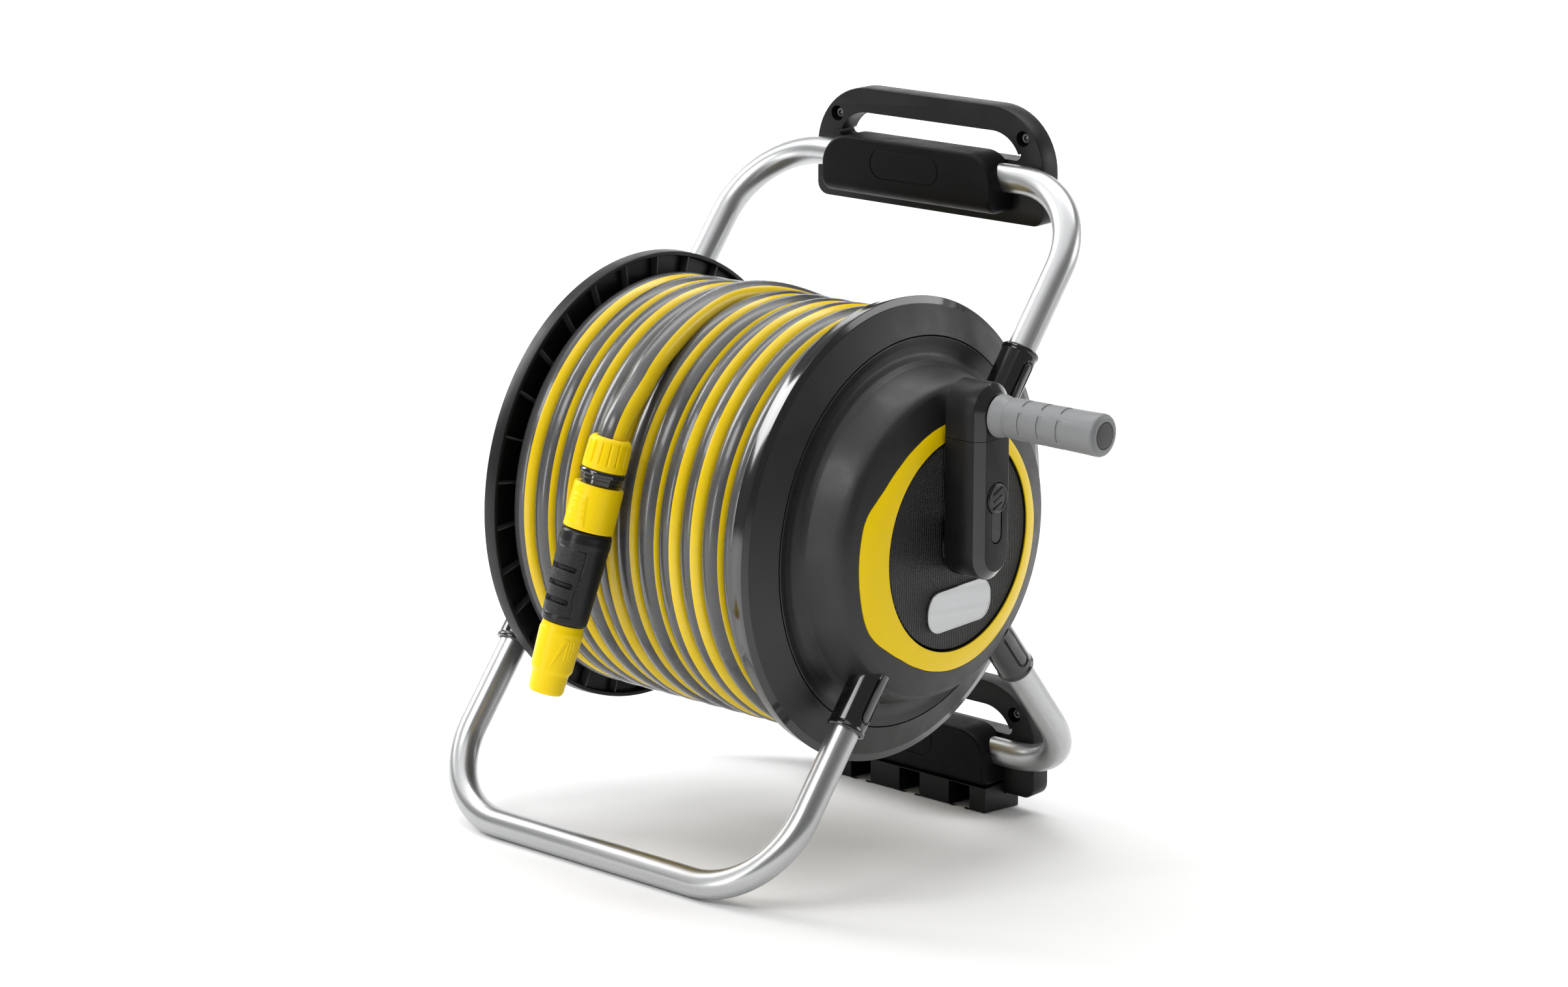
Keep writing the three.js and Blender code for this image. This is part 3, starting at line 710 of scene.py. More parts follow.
nozzle = piece("nozzle_body_grip", nozzle_body, knurled, "reel", ["nozzle_body"], ON_HOSE)
to_line = (STAND @ ON_HOSE).inverted()
local = [to_line @ v.co for v in nozzle.data.vertices]
in_panel, unrolled = [], []
for p in local:
    angle = math.degrees(math.atan2(p.z, p.y))
    in_panel.append(1.0 if abs(angle) < panel_edge(p.x) - 1.5 and 84.8 < p.x < 132.8 else 0.0)
    unrolled.append((p.x, math.radians(angle) * 18.0, 0.0))
store(nozzle, "stripe", in_panel)
store(nozzle, "lengthwise", unrolled)

# %% [markdown]
# The spray tip twists. A wedge and three bars are moulded on it to show which way is a jet
# and which way a mist, and the end is a plain bored ring.

# %% Spray tip
def spray_mark(s, angle):
    facing = signed_degrees(angle)
    t = (s - 149) / 24
    wedge_mid = 60 - 27 * t
    wedge = (1 - step(abs(facing - wedge_mid), 1.2 + 4.5 * (1 - t), 2.6 + 5.5 * (1 - t)))
    wedge *= bump_between(s, 150, 173, 0.8)
    bars = sum(bump_between(facing, at - 1.6, at + 1.6, 1.1) for at in (66, 75, 84))
    return 0.45 * wedge + 0.5 * bars * bump_between(s, 150.5, 166, 0.9)


tip_profile = eased([(140.6, 7), (140.6, 15.4), (143.6, 15.5), (146.4, 16.4), (175.2, 15.6), (178.4, 13.7),
                     (191.6, 13.1), (193.8, 11.8), (193.8, 9.4), (181, 8.2), (181, 7)],
                    [0.3, 0.5, 1.2, 1.0, 1.0, 0.7, 1.2, 0.7, 0.5, 0.3, 0.3])
spray_tip = turned(surfaced(tip_profile, spray_mark, 147, 175, 0.5, 200), 200)
piece("nozzle_tip_twist", spray_tip, yellow, "spray_tip", ["nozzle_tip"], ON_HOSE)

# %% [markdown]
# ## The frame tubes
# Three equal tubes, each bent twice, stand on planes that pass through the axle. A pipe is
# an easy sweep: a round section carried along straight runs and quarter bends. The mesh
# also remembers its length, so that the drawing lines of the metal run along it.

# %% Tubes
TUBE_R, TUBE_WALL, LEG_X, REACH, BEND_R = 11.0, 1.5, 167.3, 300.0, 69.3
TUBE_START, SPREAD = 128.0, 50.5
LEGS = {"handle": SPREAD, "front_leg": 180 + SPREAD, "rear_leg": 360 - SPREAD}


def radial(x, radius, degrees):
    a = math.radians(degrees)
    return np.array([x, radius * math.cos(a), radius * math.sin(a)])


def tube_line(degrees):
    flat = [(-LEG_X, TUBE_START)]
    flat += [(-LEG_X, t) for t in np.linspace(TUBE_START + 12, REACH - BEND_R, 6)]
    for k in range(1, 19):
        a = math.pi / 2 * k / 18
        flat.append((-LEG_X + BEND_R * (1 - math.cos(a)), REACH - BEND_R + BEND_R * math.sin(a)))
    flat += [(x, REACH) for x in np.linspace(-LEG_X + BEND_R, 0, 7)[1:]]
    flat += [(-x, t) for x, t in flat[-2::-1]]
    return [radial(x, t, degrees) for x, t in flat]


def swept(line, outer, inner, sides=56):
    """A hollow tube along a line, with the lengthwise numbers for its metal."""
    line = np.array(line)
    tangent = np.gradient(line, axis=0)
    tangent /= np.linalg.norm(tangent, axis=1)[:, None]
    flat_normal = np.cross(line[1] - line[0], line[len(line) // 2] - line[0])
    flat_normal /= np.linalg.norm(flat_normal)
    verts, faces, along = [], [], []
    run = np.concatenate([[0], np.cumsum(np.linalg.norm(np.diff(line, axis=0), axis=1))])
    for radius in (outer, inner):
        for k, (p, t) in enumerate(zip(line, tangent)):
            side = np.cross(t, flat_normal)
            for i in range(sides):
                a = 2 * math.pi * i / sides
                verts.append(tuple(p + radius * (math.cos(a) * flat_normal + math.sin(a) * side)))
                along.append((run[k] * MM, math.cos(a) * radius * MM, math.sin(a) * radius * MM))
    rows = len(line)
    for layer in range(2):
        for k in range(rows - 1):
            for i in range(sides):
                a = layer * rows * sides + k * sides + i
                b = layer * rows * sides + k * sides + (i + 1) % sides
                faces.append((a, b, b + sides, a + sides))
    for k in (0, rows - 1):
        for i in range(sides):
            a, b = k * sides + i, k * sides + (i + 1) % sides
            faces.append((a, b, b + rows * sides, a + rows * sides))
    return (verts, faces), along


for leg, degrees in LEGS.items():
    shape, along = swept(tube_line(degrees), TUBE_R, TUBE_R - TUBE_WALL)
    tube = piece("bent_tube_" + leg, shape, aluminium, "frame", ["tube_" + leg])
    store(tube, "lengthwise", along)
    print("tube", leg, len(tube.data.vertices), "points")

# %% [markdown]
# Each tube end clicks into a polished sleeve that grows out of the side hub. A tongue,
# freed by a U-shaped slot on the sleeve's outer side, snaps into a hole in the tube. The
# slot is a groove sunk into the rings, so its edge shades like a real moulding.

# %% Sockets
SOCKET_R, SOCKET_RIM_R, SOCKET_END = 14.0, 14.7, 160.0


def socket_ring(s, radius):
    """The tongue's outline: two straight sides, open at the hub, round at the tube's end."""
    def of_angle(angle):
        u = signed_degrees(angle) / 180 * math.pi * SOCKET_R
        if s < 146:
            from_edge = abs(abs(u) - 5.2)
        else:
            from_edge = abs(math.hypot(u, s - 146) - 5.2)
        groove = 1 - step(from_edge, 0.35, 0.95)
        inner = 1 - step(abs(u) if s < 146 else math.hypot(u, s - 146), 4.0, 4.9)
        return radius - 1.9 * groove - 0.35 * inner * step(s, 120, 135)
    return of_angle


for leg, degrees in LEGS.items():
    for side, label in ((1, "right"), (-1, "left")):
        rings = [(112, 11.6), (116, 11.6), (158, 11.6), (SOCKET_END - 0.6, 11.6), (SOCKET_END, 12.1),
                 (SOCKET_END, SOCKET_RIM_R - 0.7), (SOCKET_END - 0.25, SOCKET_RIM_R - 0.2),
                 (SOCKET_END - 0.8, SOCKET_RIM_R), (SOCKET_END - 2.6, SOCKET_RIM_R),
                 (SOCKET_END - 3.3, SOCKET_R + 0.1)]
        rings += [(s, socket_ring(s, SOCKET_R)) for s in np.arange(155.5, 117, -0.5)]
        rings += [(112, SOCKET_R)]
        direction = radial(0, 1, degrees)
        out = np.array([side, 0.0, 0.0])
        third = np.cross(direction, out)
        place = Matrix(((direction[0], out[0], third[0], side * LEG_X), (direction[1], out[1], third[1], 0),
                        (direction[2], out[2], third[2], 0), (0, 0, 0, 1)))
        piece("snap_socket_" + leg + "_" + label, turned(rings, 168), piano_black, "frame",
              ["socket_" + leg + "_" + label], place, sharp=50)

# %% [markdown]
# ## Side hubs
# Both hubs are hats: a brim next to the reel, a deep groove, a crown that carries the
# sockets, and a sloping face. A yellow ring is let into the slope. Its inner edge is round
# but its outline isn't, so the outline is a table of radius against angle, joined by a
# smooth curve, and the hub's face has one ring of points that follows it exactly.

# %% The yellow ring's outline
BRIM_R, BRIM_X = 146.2, 143.7
CROWN_EDGE_R, CROWN_EDGE_X, FACE_R, FACE_X = 113.0, 180.3, 80.3, 190.9
inlay_angles = [0, 12, 25, 40, 60, 80, 100, 118, 132, 145, 152, 157, 162, 171, 181, 192, 201, 208, 214, 222,
                232, 245, 259, 274, 290, 305, 320, 340]
inlay_radii = [97.0, 94.8, 93.0, 92.2, 92.0, 92.0, 92.2, 92.8, 94.2, 97.0, 100.3, 103.6, 105.0, 105.2, 105.2,
               105.4, 106.0, 105.7, 103.6, 99.8, 96.8, 96.0, 96.6, 98.0, 99.6, 100.2, 99.8, 98.6]
dense = np.arange(0, 360, 1.0)
rough_outline = np.interp(dense, inlay_angles + [360], inlay_radii + [inlay_radii[0]])
window = np.hanning(9)
outline_r = np.convolve(np.pad(rough_outline, 4, mode="wrap"), window / window.sum(), mode="valid")


def inlay_edge(angle):
    return float(np.interp(math.degrees(angle) % 360, np.append(dense, 360), np.append(outline_r,
                                                                      outline_r[0])))


def face_x(radius):
    return CROWN_EDGE_X + (FACE_X - CROWN_EDGE_X) * (CROWN_EDGE_R - radius) / (CROWN_EDGE_R - FACE_R)


def on_face(offset, sink=0.0):
    """A ring on the sloping face, beside the yellow ring's outline."""
    return (lambda a: face_x(inlay_edge(a) + offset) - sink, lambda a: inlay_edge(a) + offset)


# %% Hubs
crown = [(BRIM_X, BRIM_R), (142.2, 139.4), (142.6, 133.0), (145.4, 128.6), (150, 126.3), (161, 123.3),
         (172, 119.9), (177.2, 117.3), (CROWN_EDGE_X, CROWN_EDGE_R)]
crown_soft = eased(crown, [0, 1.6, 1.8, 0.9, 0.6, 8, 6, 2.6, 0], closed=False, steps=5)
inside_right = [(174.3, 108), (171, 112), (150, 119), (142.2, 121), (142.2, 34), (158, 34), (158, 28.3),
                (134.5, 28.3), (134.5, 34), (138.2, 34)]
right_rings = [(138.2, BRIM_R - 0.5), (138.6, BRIM_R), (BRIM_X - 0.5, BRIM_R), (BRIM_X, BRIM_R - 0.5)]
right_rings += crown_soft[1:-1]
right_rings += [(CROWN_EDGE_X - 0.25, CROWN_EDGE_R + 0.35), (CROWN_EDGE_X + 0.05, CROWN_EDGE_R - 0.35)]
right_rings += [on_face(0.55), on_face(0.4, 0.1), on_face(0.35, 1.5), (face_x(80.8) - 1.5, 80.8),
                (FACE_X - 4.2, FACE_R)]
right_rings += inside_right
piece("hub_right_shell", turned(right_rings, 240), dark_grey, "frame", ["hub_right"], sharp=14)

left_rings = [(124.4, BRIM_R - 0.5), (124.8, BRIM_R), (BRIM_X - 0.5, BRIM_R), (BRIM_X, BRIM_R - 0.5)]
left_rings += crown_soft[1:-1]
left_rings += [(CROWN_EDGE_X - 0.25, CROWN_EDGE_R + 0.35), (CROWN_EDGE_X + 0.05, CROWN_EDGE_R - 0.35)]
left_rings += [(FACE_X - 0.2, FACE_R + 0.5), (FACE_X - 0.5, FACE_R), (FACE_X - 3.2, FACE_R)]
left_rings += inside_right + [(138.2, 142.6), (124.4, 142.6)]
piece("hub_left_shell", turned([(-x, r) for x, r in left_rings], 200), dark_grey, "frame",
      ["hub_left"], sharp=14)

# %% Yellow ring
ring_rings = [on_face(-0.45, -0.22), on_face(-0.05, -0.02), on_face(0, 0.9), (face_x(81.2) - 0.9, 81.2),
              (face_x(81.2), 81.2), (face_x(81.7) + 0.24, 81.7)]
piece("yellow_ring", turned(ring_rings[::-1], 360), yellow, "frame", ["yellow_inlay"], sharp=40)

# %% Left cap
cap_rings = [(178, 13.2), (178, 76), (184, 79.6), (189.2, 79.6), (190.2, 78.9), (191.3, 72), (192.3, 66),
             (190.7, 64), (190.9, 30), (192.4, 28), (192.8, 24), (195.2, 22.4), (196, 21.4), (196, 13.2)]
cap_rings = eased(cap_rings, 0.8, steps=2)
piece("hub_cap_left_turned", turned([(-x, r) for x, r in cap_rings], 144), matt_black, "frame",
      ["hub_cap_left"])
print("hubs, ring and cap made")

# %% [markdown]
# ## Flanges of the reel
# The right flange ends in a polished bevel that catches the brightest light of the whole
# object, then slopes down as a matt cone to the hub's brim. The left flange shows its inner
# side, which is stiffened with thin ribs like spokes.

# %% Flanges
RIM_LEFT_R, BEVEL_FOOT_R = 176.0, 169.2
rim_rings = [(118.3, 21.8), (118.3, 171.0), (119.2, 172.3), (124.4, 173.1), (131.0, 175.0), (131.6, 175.0),
             (131.9, 174.4), (133.0, 170.2), (133.5, 169.3)]
cone_rings = [(143.0, 147.5), (143.0, 147.2), (139.9, 146.9), (130.6, 166.6), (121.2, 168),
              (121.2, 40), (133, 34), (133, 21.8)]
flange_right = piece("flange_right", turned(rim_rings + cone_rings, 240), dark_grey, "reel",
                     ["reel_flange_right"], sharp=20)
flange_right.data.materials.append(piano_black)
to_stand = STAND.inverted()
for face in flange_right.data.polygons:
    middle = to_stand @ face.center
    beyond = math.hypot(middle.y, middle.z)
    if middle.x > 119.5 and middle.x < 133.6 and beyond > BEVEL_FOOT_R:
        face.material_index = 1

left = [(-123.3, 14.4), (-123.3, RIM_LEFT_R - 1.2), (-122.9, RIM_LEFT_R - 0.3), (-122.2, RIM_LEFT_R),
        (-113.2, RIM_LEFT_R - 0.6),
         (-112.7, RIM_LEFT_R - 1.1), (-112.7, 172.6), (-113.2, 172.2), (-119.6, 171.4), (-119.6, 102),
         (-112.4, 102), (-112.4, 14.4)]
piece("flange_left", turned(left, 240), inner_black, "reel", ["reel_flange_left"], sharp=30)
RIBS = 30
rib_verts, rib_faces = [], []
for i in range(RIBS):
    base = i * 360 / RIBS + 3
    start = len(rib_verts)
    for x, r in ((-119.9, 101), (-119.9, 172), (-113.6, 172), (-113.6, 101)):
        for offset in (-0.75, 0.75):
            mid = radial(x, r, base)
            side = radial(0, 1, base + 90)
            rib_verts.append(tuple(mid + side * offset * (1.25 if x < -118 else 0.8)))
    k = [start + n for n in range(8)]
    rib_faces += [(k[0], k[2], k[3], k[1]), (k[2], k[4], k[5], k[3]), (k[4], k[6], k[7], k[5]),
                  (k[6], k[0], k[1], k[7]), (k[0], k[6], k[4], k[2]), (k[1], k[3], k[5], k[7])]
# the ribs' lighter colour is a painted highlight on their edges
piece("flange_left_ribs", (rib_verts, rib_faces), rib_painted_highlight, "reel", sharp=30)
print("flanges and", RIBS, "ribs made")

# %% [markdown]
# ## Crank
# A disc with a woven texture fills the right hub and turns with the crank. The weave is too
# fine to model thread by thread: a slanting wave, broken up by a second wave across it,
# gives the bump, and also a painted shade in the lines between the threads and a painted
# highlight on the threads.

# %% Crank disc
woven = plastic("woven texture, dark grey", "dark_grey", (0.011, 0.011, 0.0113), 0.36, 900, 0.01,
                specular=0.3)
tree = woven.node_tree
shader = tree.nodes["Principled BSDF"]
where = tree.nodes.new("ShaderNodeTexCoord")
slant = tree.nodes.new("ShaderNodeVectorRotate")
slant.rotation_type = "X_AXIS"
slant.inputs["Angle"].default_value = math.radians(-3) - LEAN
link(tree, where, "Object", slant, "Vector")
COLUMN_PITCH, DASH_PITCH = 2.1, 1.4
# a wave texture of scale 1 has this many waves in a metre
WAVES_PER_SCALE = 10 / math.pi
threads = wave(tree, slant, "Y", 1 / (WAVES_PER_SCALE * COLUMN_PITCH * MM))
crossings = wave(tree, slant, "Z", 1 / (WAVES_PER_SCALE * DASH_PITCH * MM))
weave = tree.nodes.new("ShaderNodeMath")
weave.operation = "MULTIPLY_ADD"
weave.inputs[1].default_value = 0.25
link(tree, crossings, "Fac", weave, 0)
link(tree, threads, "Fac", weave, 2)
add_bump(tree, shader, weave.outputs["Value"], 0.45)
# the colour is multiplied down between the threads as painted shade and up on the threads as painted highlight
weave_painted_light = spread(tree, weave.outputs["Value"], 0.15, 1.9, 0.1, 1.0)
darker = tree.nodes.new("ShaderNodeMix")
darker.data_type = "RGBA"
darker.blend_type = "MULTIPLY"
darker.inputs["Factor"].default_value = 1.0
tree.links.new(shader.inputs["Base Color"].links[0].from_socket, darker.inputs["A"])
tree.links.new(weave_painted_light, darker.inputs["B"])
link(tree, darker, "Result", shader, "Base Color")

disc = [(184.6, 0), (184.6, 77), (186.6, 79.3), (189.0, 79.3), (189.5, 78.8), (189.6, 78.2), (189.6, 18.4),
        (192.0, 17.4), (192.2, 16.8), (192.2, 0)]
piece("crank_disc_woven", turned(disc, 240), woven, "reel", ["crank_disc"])

# %% [markdown]
# The badge is left blank: a brushed plate in the shape of a pill, with a thin rim.

# %% Badge


def pill(y0, y1, z0, z1, radius, steps=10):
    """A rounded rectangle as a list of points, anticlockwise."""
    out = []
    for cy, cz, start in ((y1 - radius, z0 + radius, -90), (y1 - radius, z1 - radius, 0),
                          (y0 + radius, z1 - radius, 90), (y0 + radius, z0 + radius, 180)):
        for k in range(steps + 1):
            a = math.radians(start + 90 * k / steps)
            out.append((cy + radius * math.cos(a), cz + radius * math.sin(a)))
    return out


brushed = metal("brushed badge", "badge_silver", (0.5, 0.505, 0.51), 0.36)
badge_outline = pill(-36, 37.5, -63.5, -32, 13.5)


def at_x(outline, x):
    return [(x, y, z) for y, z in outline]


badge_layers = [at_x(badge_outline, 189.9), at_x(badge_outline, 191.0), at_x(inset(badge_outline, 0.35),
                                                                      191.5),
                at_x(inset(badge_outline, 1.3), 191.5), at_x(inset(badge_outline, 1.5), 191.3)]
badge = piece("badge_plate", layered(badge_layers), brushed, "reel", ["badge"])
store(badge, "lengthwise", [(v.co.y, v.co.z, 0) for v in badge.data.vertices])

# %% [markdown]
# The arm is a long rounded bar with a wide polished chamfer. It is split across near the
# top, because its head folds forward to lay the grip flat along the arm. Both halves come
# from one outline, cut at the split, so their chamfers meet exactly.

# %% Arm and head
ARM_SPLIT_Z, ARM_FACE_X, ARM_BACK_X, GRIP_Z = 84.35, 225.0, 192.6, 102.0


def bar(half, low, high):
    """The outline of the arm at one height: a bar with round ends, cut off at low or high."""
    foot_z, head_z = -1.5, 104.5
    points = []
    if low is None:
        points += [(-half * math.cos(a), foot_z - half * math.sin(a)) for a in np.linspace(0, math.pi, 33)]
    else:
        points += [(-half, low), (half, low)]
    if high is None:
        points += [(half * math.cos(a), head_z + half * math.sin(a)) for a in np.linspace(0, math.pi, 33)]
    else:
        points += [(half, high), (-half, high)]
    return points


def arm_layers(low, high):
    levels = [(ARM_BACK_X, 20.2), (ARM_BACK_X + 0.5, 20.6), (208, 20.6), (218.4, 20.5), (218.9, 20.2),
              (219.3, 19.7), (224.5, 13.9), (224.85, 13.4), (225.0, 12.8)]
    return [at_x(bar(half, low, high), x) for x, half in levels]


def keyhole(grow):
    stem, knob = 5.5 + grow, 11.4 + grow
    lift = math.asin(stem / knob)
    points = [(stem * math.cos(a), 12 + stem * math.sin(a)) for a in np.linspace(math.pi, 2 * math.pi, 17)]
    points += [(knob * math.cos(a), 40 + knob * math.sin(a))
               for a in np.linspace(-math.pi / 2 + lift, math.pi * 1.5 - lift, 41)]
    return points


arm = piece("crank_arm_bar", layered(arm_layers(None, ARM_SPLIT_Z - 0.2)), matt_black, "reel", ["crank_arm"])
cut(arm, layered([at_x(keyhole(0.7), 214.6), at_x(keyhole(0.7), 230)]))
head = piece("crank_head_bar", layered(arm_layers(ARM_SPLIT_Z + 0.2, None)), matt_black, "head",
             ["crank_head"])
for part in (arm, head):
    part.data.materials.append(piano_black)
    for face in part.data.polygons:
        normal = to_stand.to_3x3() @ face.normal
        normal.normalize()
        middle = to_stand @ face.center
        if 0.35 < normal.x < 0.9 and 218.8 < middle.x < 225:
            face.material_index = 1

# %% [markdown]
# The lock lever is a springy tongue shaped like a keyhole. Its round end is a raised button
# with three short slanting ribs for the thumb.

# %% Lock lever
stem_layers = [at_x(keyhole(0), 220), at_x(keyhole(0), 224.2), at_x(inset(keyhole(0), 0.3), 224.6)]
knob_profile = [(220, 0), (220, 11.2), (225.2, 11.2), (226.0, 10.8), (226.5, 9.8), (226.0, 8.9), (225.9, 8.4),
                (226.25, 3), (226.3, 0)]
piece("lock_lever_tongue", layered(stem_layers), satin_black, "lock", ["lock_lever"], sharp=40)
KNOB_AT = Matrix.Translation((0, 0, 40)) @ Matrix.Diagonal((1, 1, 1.04, 1))
piece("lock_button", turned(eased(knob_profile, 0.3, closed=False), 72), satin_black, "lock", place=KNOB_AT)
for n, z in enumerate((34.6, 40, 45.4)):
    rib = pill(-5.2, 5.2, -0.75, 0.75, 0.74, 5)
    slope = Matrix.Translation((0, 0, z)) @ Matrix.Rotation(math.radians(22), 4, "X")
    piece(f"lock_button_rib_{n + 1}", layered([at_x(rib, 225.9), at_x(rib, 226.5), at_x(inset(rib, 0.35),
                                                                      226.8)]),
          satin_black, "lock", place=slope)

# %% [markdown]
# The grip is soft grey plastic. Its grooves don't run all the way round: each stops at four
# lands, which is why its radius is a function of the angle.

# %% Grip
def grip_radius(base, deep, where):
    def of_angle(angle):
        turn_deg = (math.degrees(angle) + 45) % 90
        land = 1 - bump_between(turn_deg, 11, 79, 2.0)
        return base - deep * (1 - land)
    return (where, of_angle)


grip_rings = [(226.2, 5.4), (226.2, 14.6), (226.7, 15.6), (228.4, 16.0), (231, 15.4), (234, 14.55), (238.1,
                                                                      14.25),
              (238.5, 14.75), (240, 14.9)]
for start, width, base in ((252.9, 2.9, 15.05), (269.9, 2.9, 15.15), (287.2, 3.2, 15.25)):
    grip_rings += [(start - 6, base), (start - 0.25, base), grip_radius(base, 0.85, start),
                   grip_radius(base, 0.95, start + width), (start + width + 0.25, base)]
grip_rings += [(305, 15.45), (315.5, 15.75), (317.6, 15.6), (318.8, 15.0), (319.4, 14.0), (319.9, 12.4),
               (320.1, 10.6), (319.9, 10.1), (319.2, 9.95), (317.7, 9.95), (317.7, 5.4)]
GRIP_AT = Matrix.Translation((0, 0, GRIP_Z))
piece("grip_soft", turned(grip_rings, 144), grip_grey, "grip", ["grip_sleeve"], GRIP_AT, sharp=50)
cap = [(318, 0), (318, 9.6), (319.6, 9.6), (320.0, 9.2), (320.2, 8.2), (320.3, 0)]
piece("grip_end_cap_disc", turned(cap, 72), cap_grey, "grip", ["grip_end_cap"], GRIP_AT)
print("crank made")

# %% [markdown]
# ## Brackets
# The same bracket is used twice: at the top as a hanger, and at the foot. It is a thick
# plate with a wide window and a cover over the tube, held by two countersunk screws.

# %% Brackets
CROSS_Y = REACH * math.cos(math.radians(SPREAD))
CROSS_Z = REACH * math.sin(math.radians(SPREAD))
PLATE_FRONT, PLATE_BACK, COVER_FRONT = 198.5, 217.5, 169.0


def arc(cx, cz, radius, start, end, steps=9):
    return [(cx + radius * math.cos(math.radians(a)), cz + radius * math.sin(math.radians(a)))
            for a in np.linspace(start, end, steps)]


def at_y(outline, y):
    return [(x, y, z) for x, z in outline]


def plate_outline(z):
    return (arc(103, z - 27, 10, -90, 0) + arc(63, z + 3, 50, 0, 90, 15)
            + arc(-63, z + 3, 50, 90, 180, 15) + arc(-103, z - 27, 10, 180, 270))


def window_outline(z, grow=0.0):
    return (arc(86, z + 17.6, 5 + grow, -90, 10) + arc(63, z + 5.5, 28 + grow, 25, 90, 12)
            + arc(-63, z + 5.5, 28 + grow, 90, 155, 12) + arc(-86, z + 17.6, 5 + grow, 170, 270))


def cover_outline(z, lift=0.0, trim=0.0):
    """The cover from the front; lift raises its lower edge, trim draws in the rest."""
    low, high, side = z - 27 + lift, z + 19 - trim, 84 - trim
    return (arc(side - 4, low + 4, 4, -90, 0) + arc(side - 24, high - 24, 24, 0, 90, 14)
            + arc(-side + 24, high - 24, 24, 90, 180, 14) + arc(-side + 4, low + 4, 4, 180, 270))


def tunnel(z, radius):
    """The hole for the tube: a round bar along X."""
    place = Matrix.Translation((0, CROSS_Y, z))
    return turned([(-150, 0), (-150, radius), (150, radius), (150, 0)], 48), place


for label, z in (("top", CROSS_Z), ("foot", -CROSS_Z)):
    rim = plate_outline(z)
    plate_layers = [at_y(inset(rim, 1.2), PLATE_FRONT), at_y(inset(rim, 0.35), PLATE_FRONT + 0.35),
                    at_y(rim, PLATE_FRONT + 1.2), at_y(rim, PLATE_BACK - 1.2),
                    at_y(inset(rim, 0.35), PLATE_BACK - 0.35), at_y(inset(rim, 1.2), PLATE_BACK)]
    plate = piece(label + "_plate", layered(plate_layers), matt_black, "frame", [label + "_bracket_plate"])
    hole = window_outline(z)
    cut(plate, layered([at_y(hole, PLATE_FRONT - 5), at_y(hole, PLATE_BACK + 5)]))
    cut(plate, *tunnel(z, TUBE_R + 0.3))
    for x in (-92.5, 92.5):
        sink = [(-1, 0), (-1, 6.1), (4.6, 6.1), (8.0, 5.0), (8.0, 0)]
        along_y = Matrix.Translation((x, PLATE_FRONT, z + 30)) @ Matrix.Rotation(math.pi / 2, 4, "Z")
        cut(plate, turned(sink, 40), along_y)
    # pockets of a ribbed back, as on any deep moulding
    for x in (-78, -39, 0, 39, 78):
        pocket = pill(x - 15.5, x + 15.5, z - 32, z - 13, 3, 4)
        cut(plate, layered([at_y(pocket, PLATE_BACK - 1.6), at_y(pocket, PLATE_BACK + 5)]))

    swell = [(0.0, 11.0, 1.7), (0.35, 8.6, 0.8), (0.9, 6.8, 0.3), (1.7, 5.2, 0.0), (3.2, 3.2, 0.0),
             (5.6, 1.3, 0.0), (8.5, 0.3, 0.0), (11, 0.0, 0.0), (PLATE_FRONT - 0.5 - COVER_FRONT, 0.0, 0.0)]
    cover_layers = [at_y(cover_outline(z, lift, trim), COVER_FRONT + deep) for deep, lift, trim in swell]
    cover = piece(label + "_cover", layered(cover_layers), cover_black, "frame", [label + "_bracket_cover"],
                  sharp=40)
    cut(cover, *tunnel(z, TUBE_R + 0.4))
    groove_out = pill(-35, 33, z - 11.1, z + 12.5, 11.7, 12)
    groove_in = inset(groove_out, 0.8)
    recess = layered([at_y(groove_out, COVER_FRONT - 3), at_y(groove_out, COVER_FRONT + 0.55)])
    cut(cover, recess)
    raised = layered([at_y(groove_in, COVER_FRONT + 0.7), at_y(groove_in, COVER_FRONT + 0.25),
                      at_y(inset(groove_in, 0.3), COVER_FRONT + 0.02)][::-1])
    piece(label + "_cover_field", raised, cover_black, "frame")
    for side, x in (("left", -92.5), ("right", 92.5)):
        screw_at = Matrix.Translation((x, PLATE_FRONT + 4.2, z + 30)) @ Matrix.Rotation(math.pi / 2, 4, "Z")
        head_rings = [(0, 0), (0.9, 1.6), (0.1, 2.1), (0, 3.4), (0.5, 4.2), (2.4, 4.4), (2.4, 0)]
        # the screw heads sit deep in their holes; their darkened steel paints the holes' shade
        piece(f"{label}_screw_{side}_head", turned(head_rings, 48), screw_steel_painted_shade, "frame",
              [f"{label}_screw_{side}"],
              screw_at)
print("brackets made")

# %% [markdown]
# Under the foot bracket hangs the accessory holder: a beam with three bays that hold a
# nozzle or fitting by its neck. Its underside lies on the floor.

# %% Accessory holder
floor_here = hub.z / MM
HOLDER_TOP = -CROSS_Z - 27.3
UNDER_PLATE = -CROSS_Z - 37.3


def floor_z(y, lift=0.0):
    return (-(floor_here - lift) - y * math.sin(LEAN)) / math.cos(LEAN)


side_outline = [(173, floor_z(173)), (217.5, floor_z(217.5)), (217.5, UNDER_PLATE), (198.2, UNDER_PLATE),
                (198.2, HOLDER_TOP), (173, HOLDER_TOP)]
side_soft = eased(side_outline, [1.2, 1.2, 0.8, 0.8, 0.8, 0.8])
beam = layered([[(x, y, z) for y, z in (inset(side_soft, d) if d else side_soft)]
                for x, d in ((-84, 0.6), (-83.4, 0), (83.4, 0), (84, 0.6))])
holder = piece("accessory_beam", beam, matt_black, "frame", ["accessory_holder"])


def block(x0, x1, y0, y1, z0, z1):
    corners = [(x0, y0), (x1, y0), (x1, y1), (x0, y1)]
    return layered([[(x, y, z0) for x, y in corners], [(x, y, z1) for x, y in corners]])


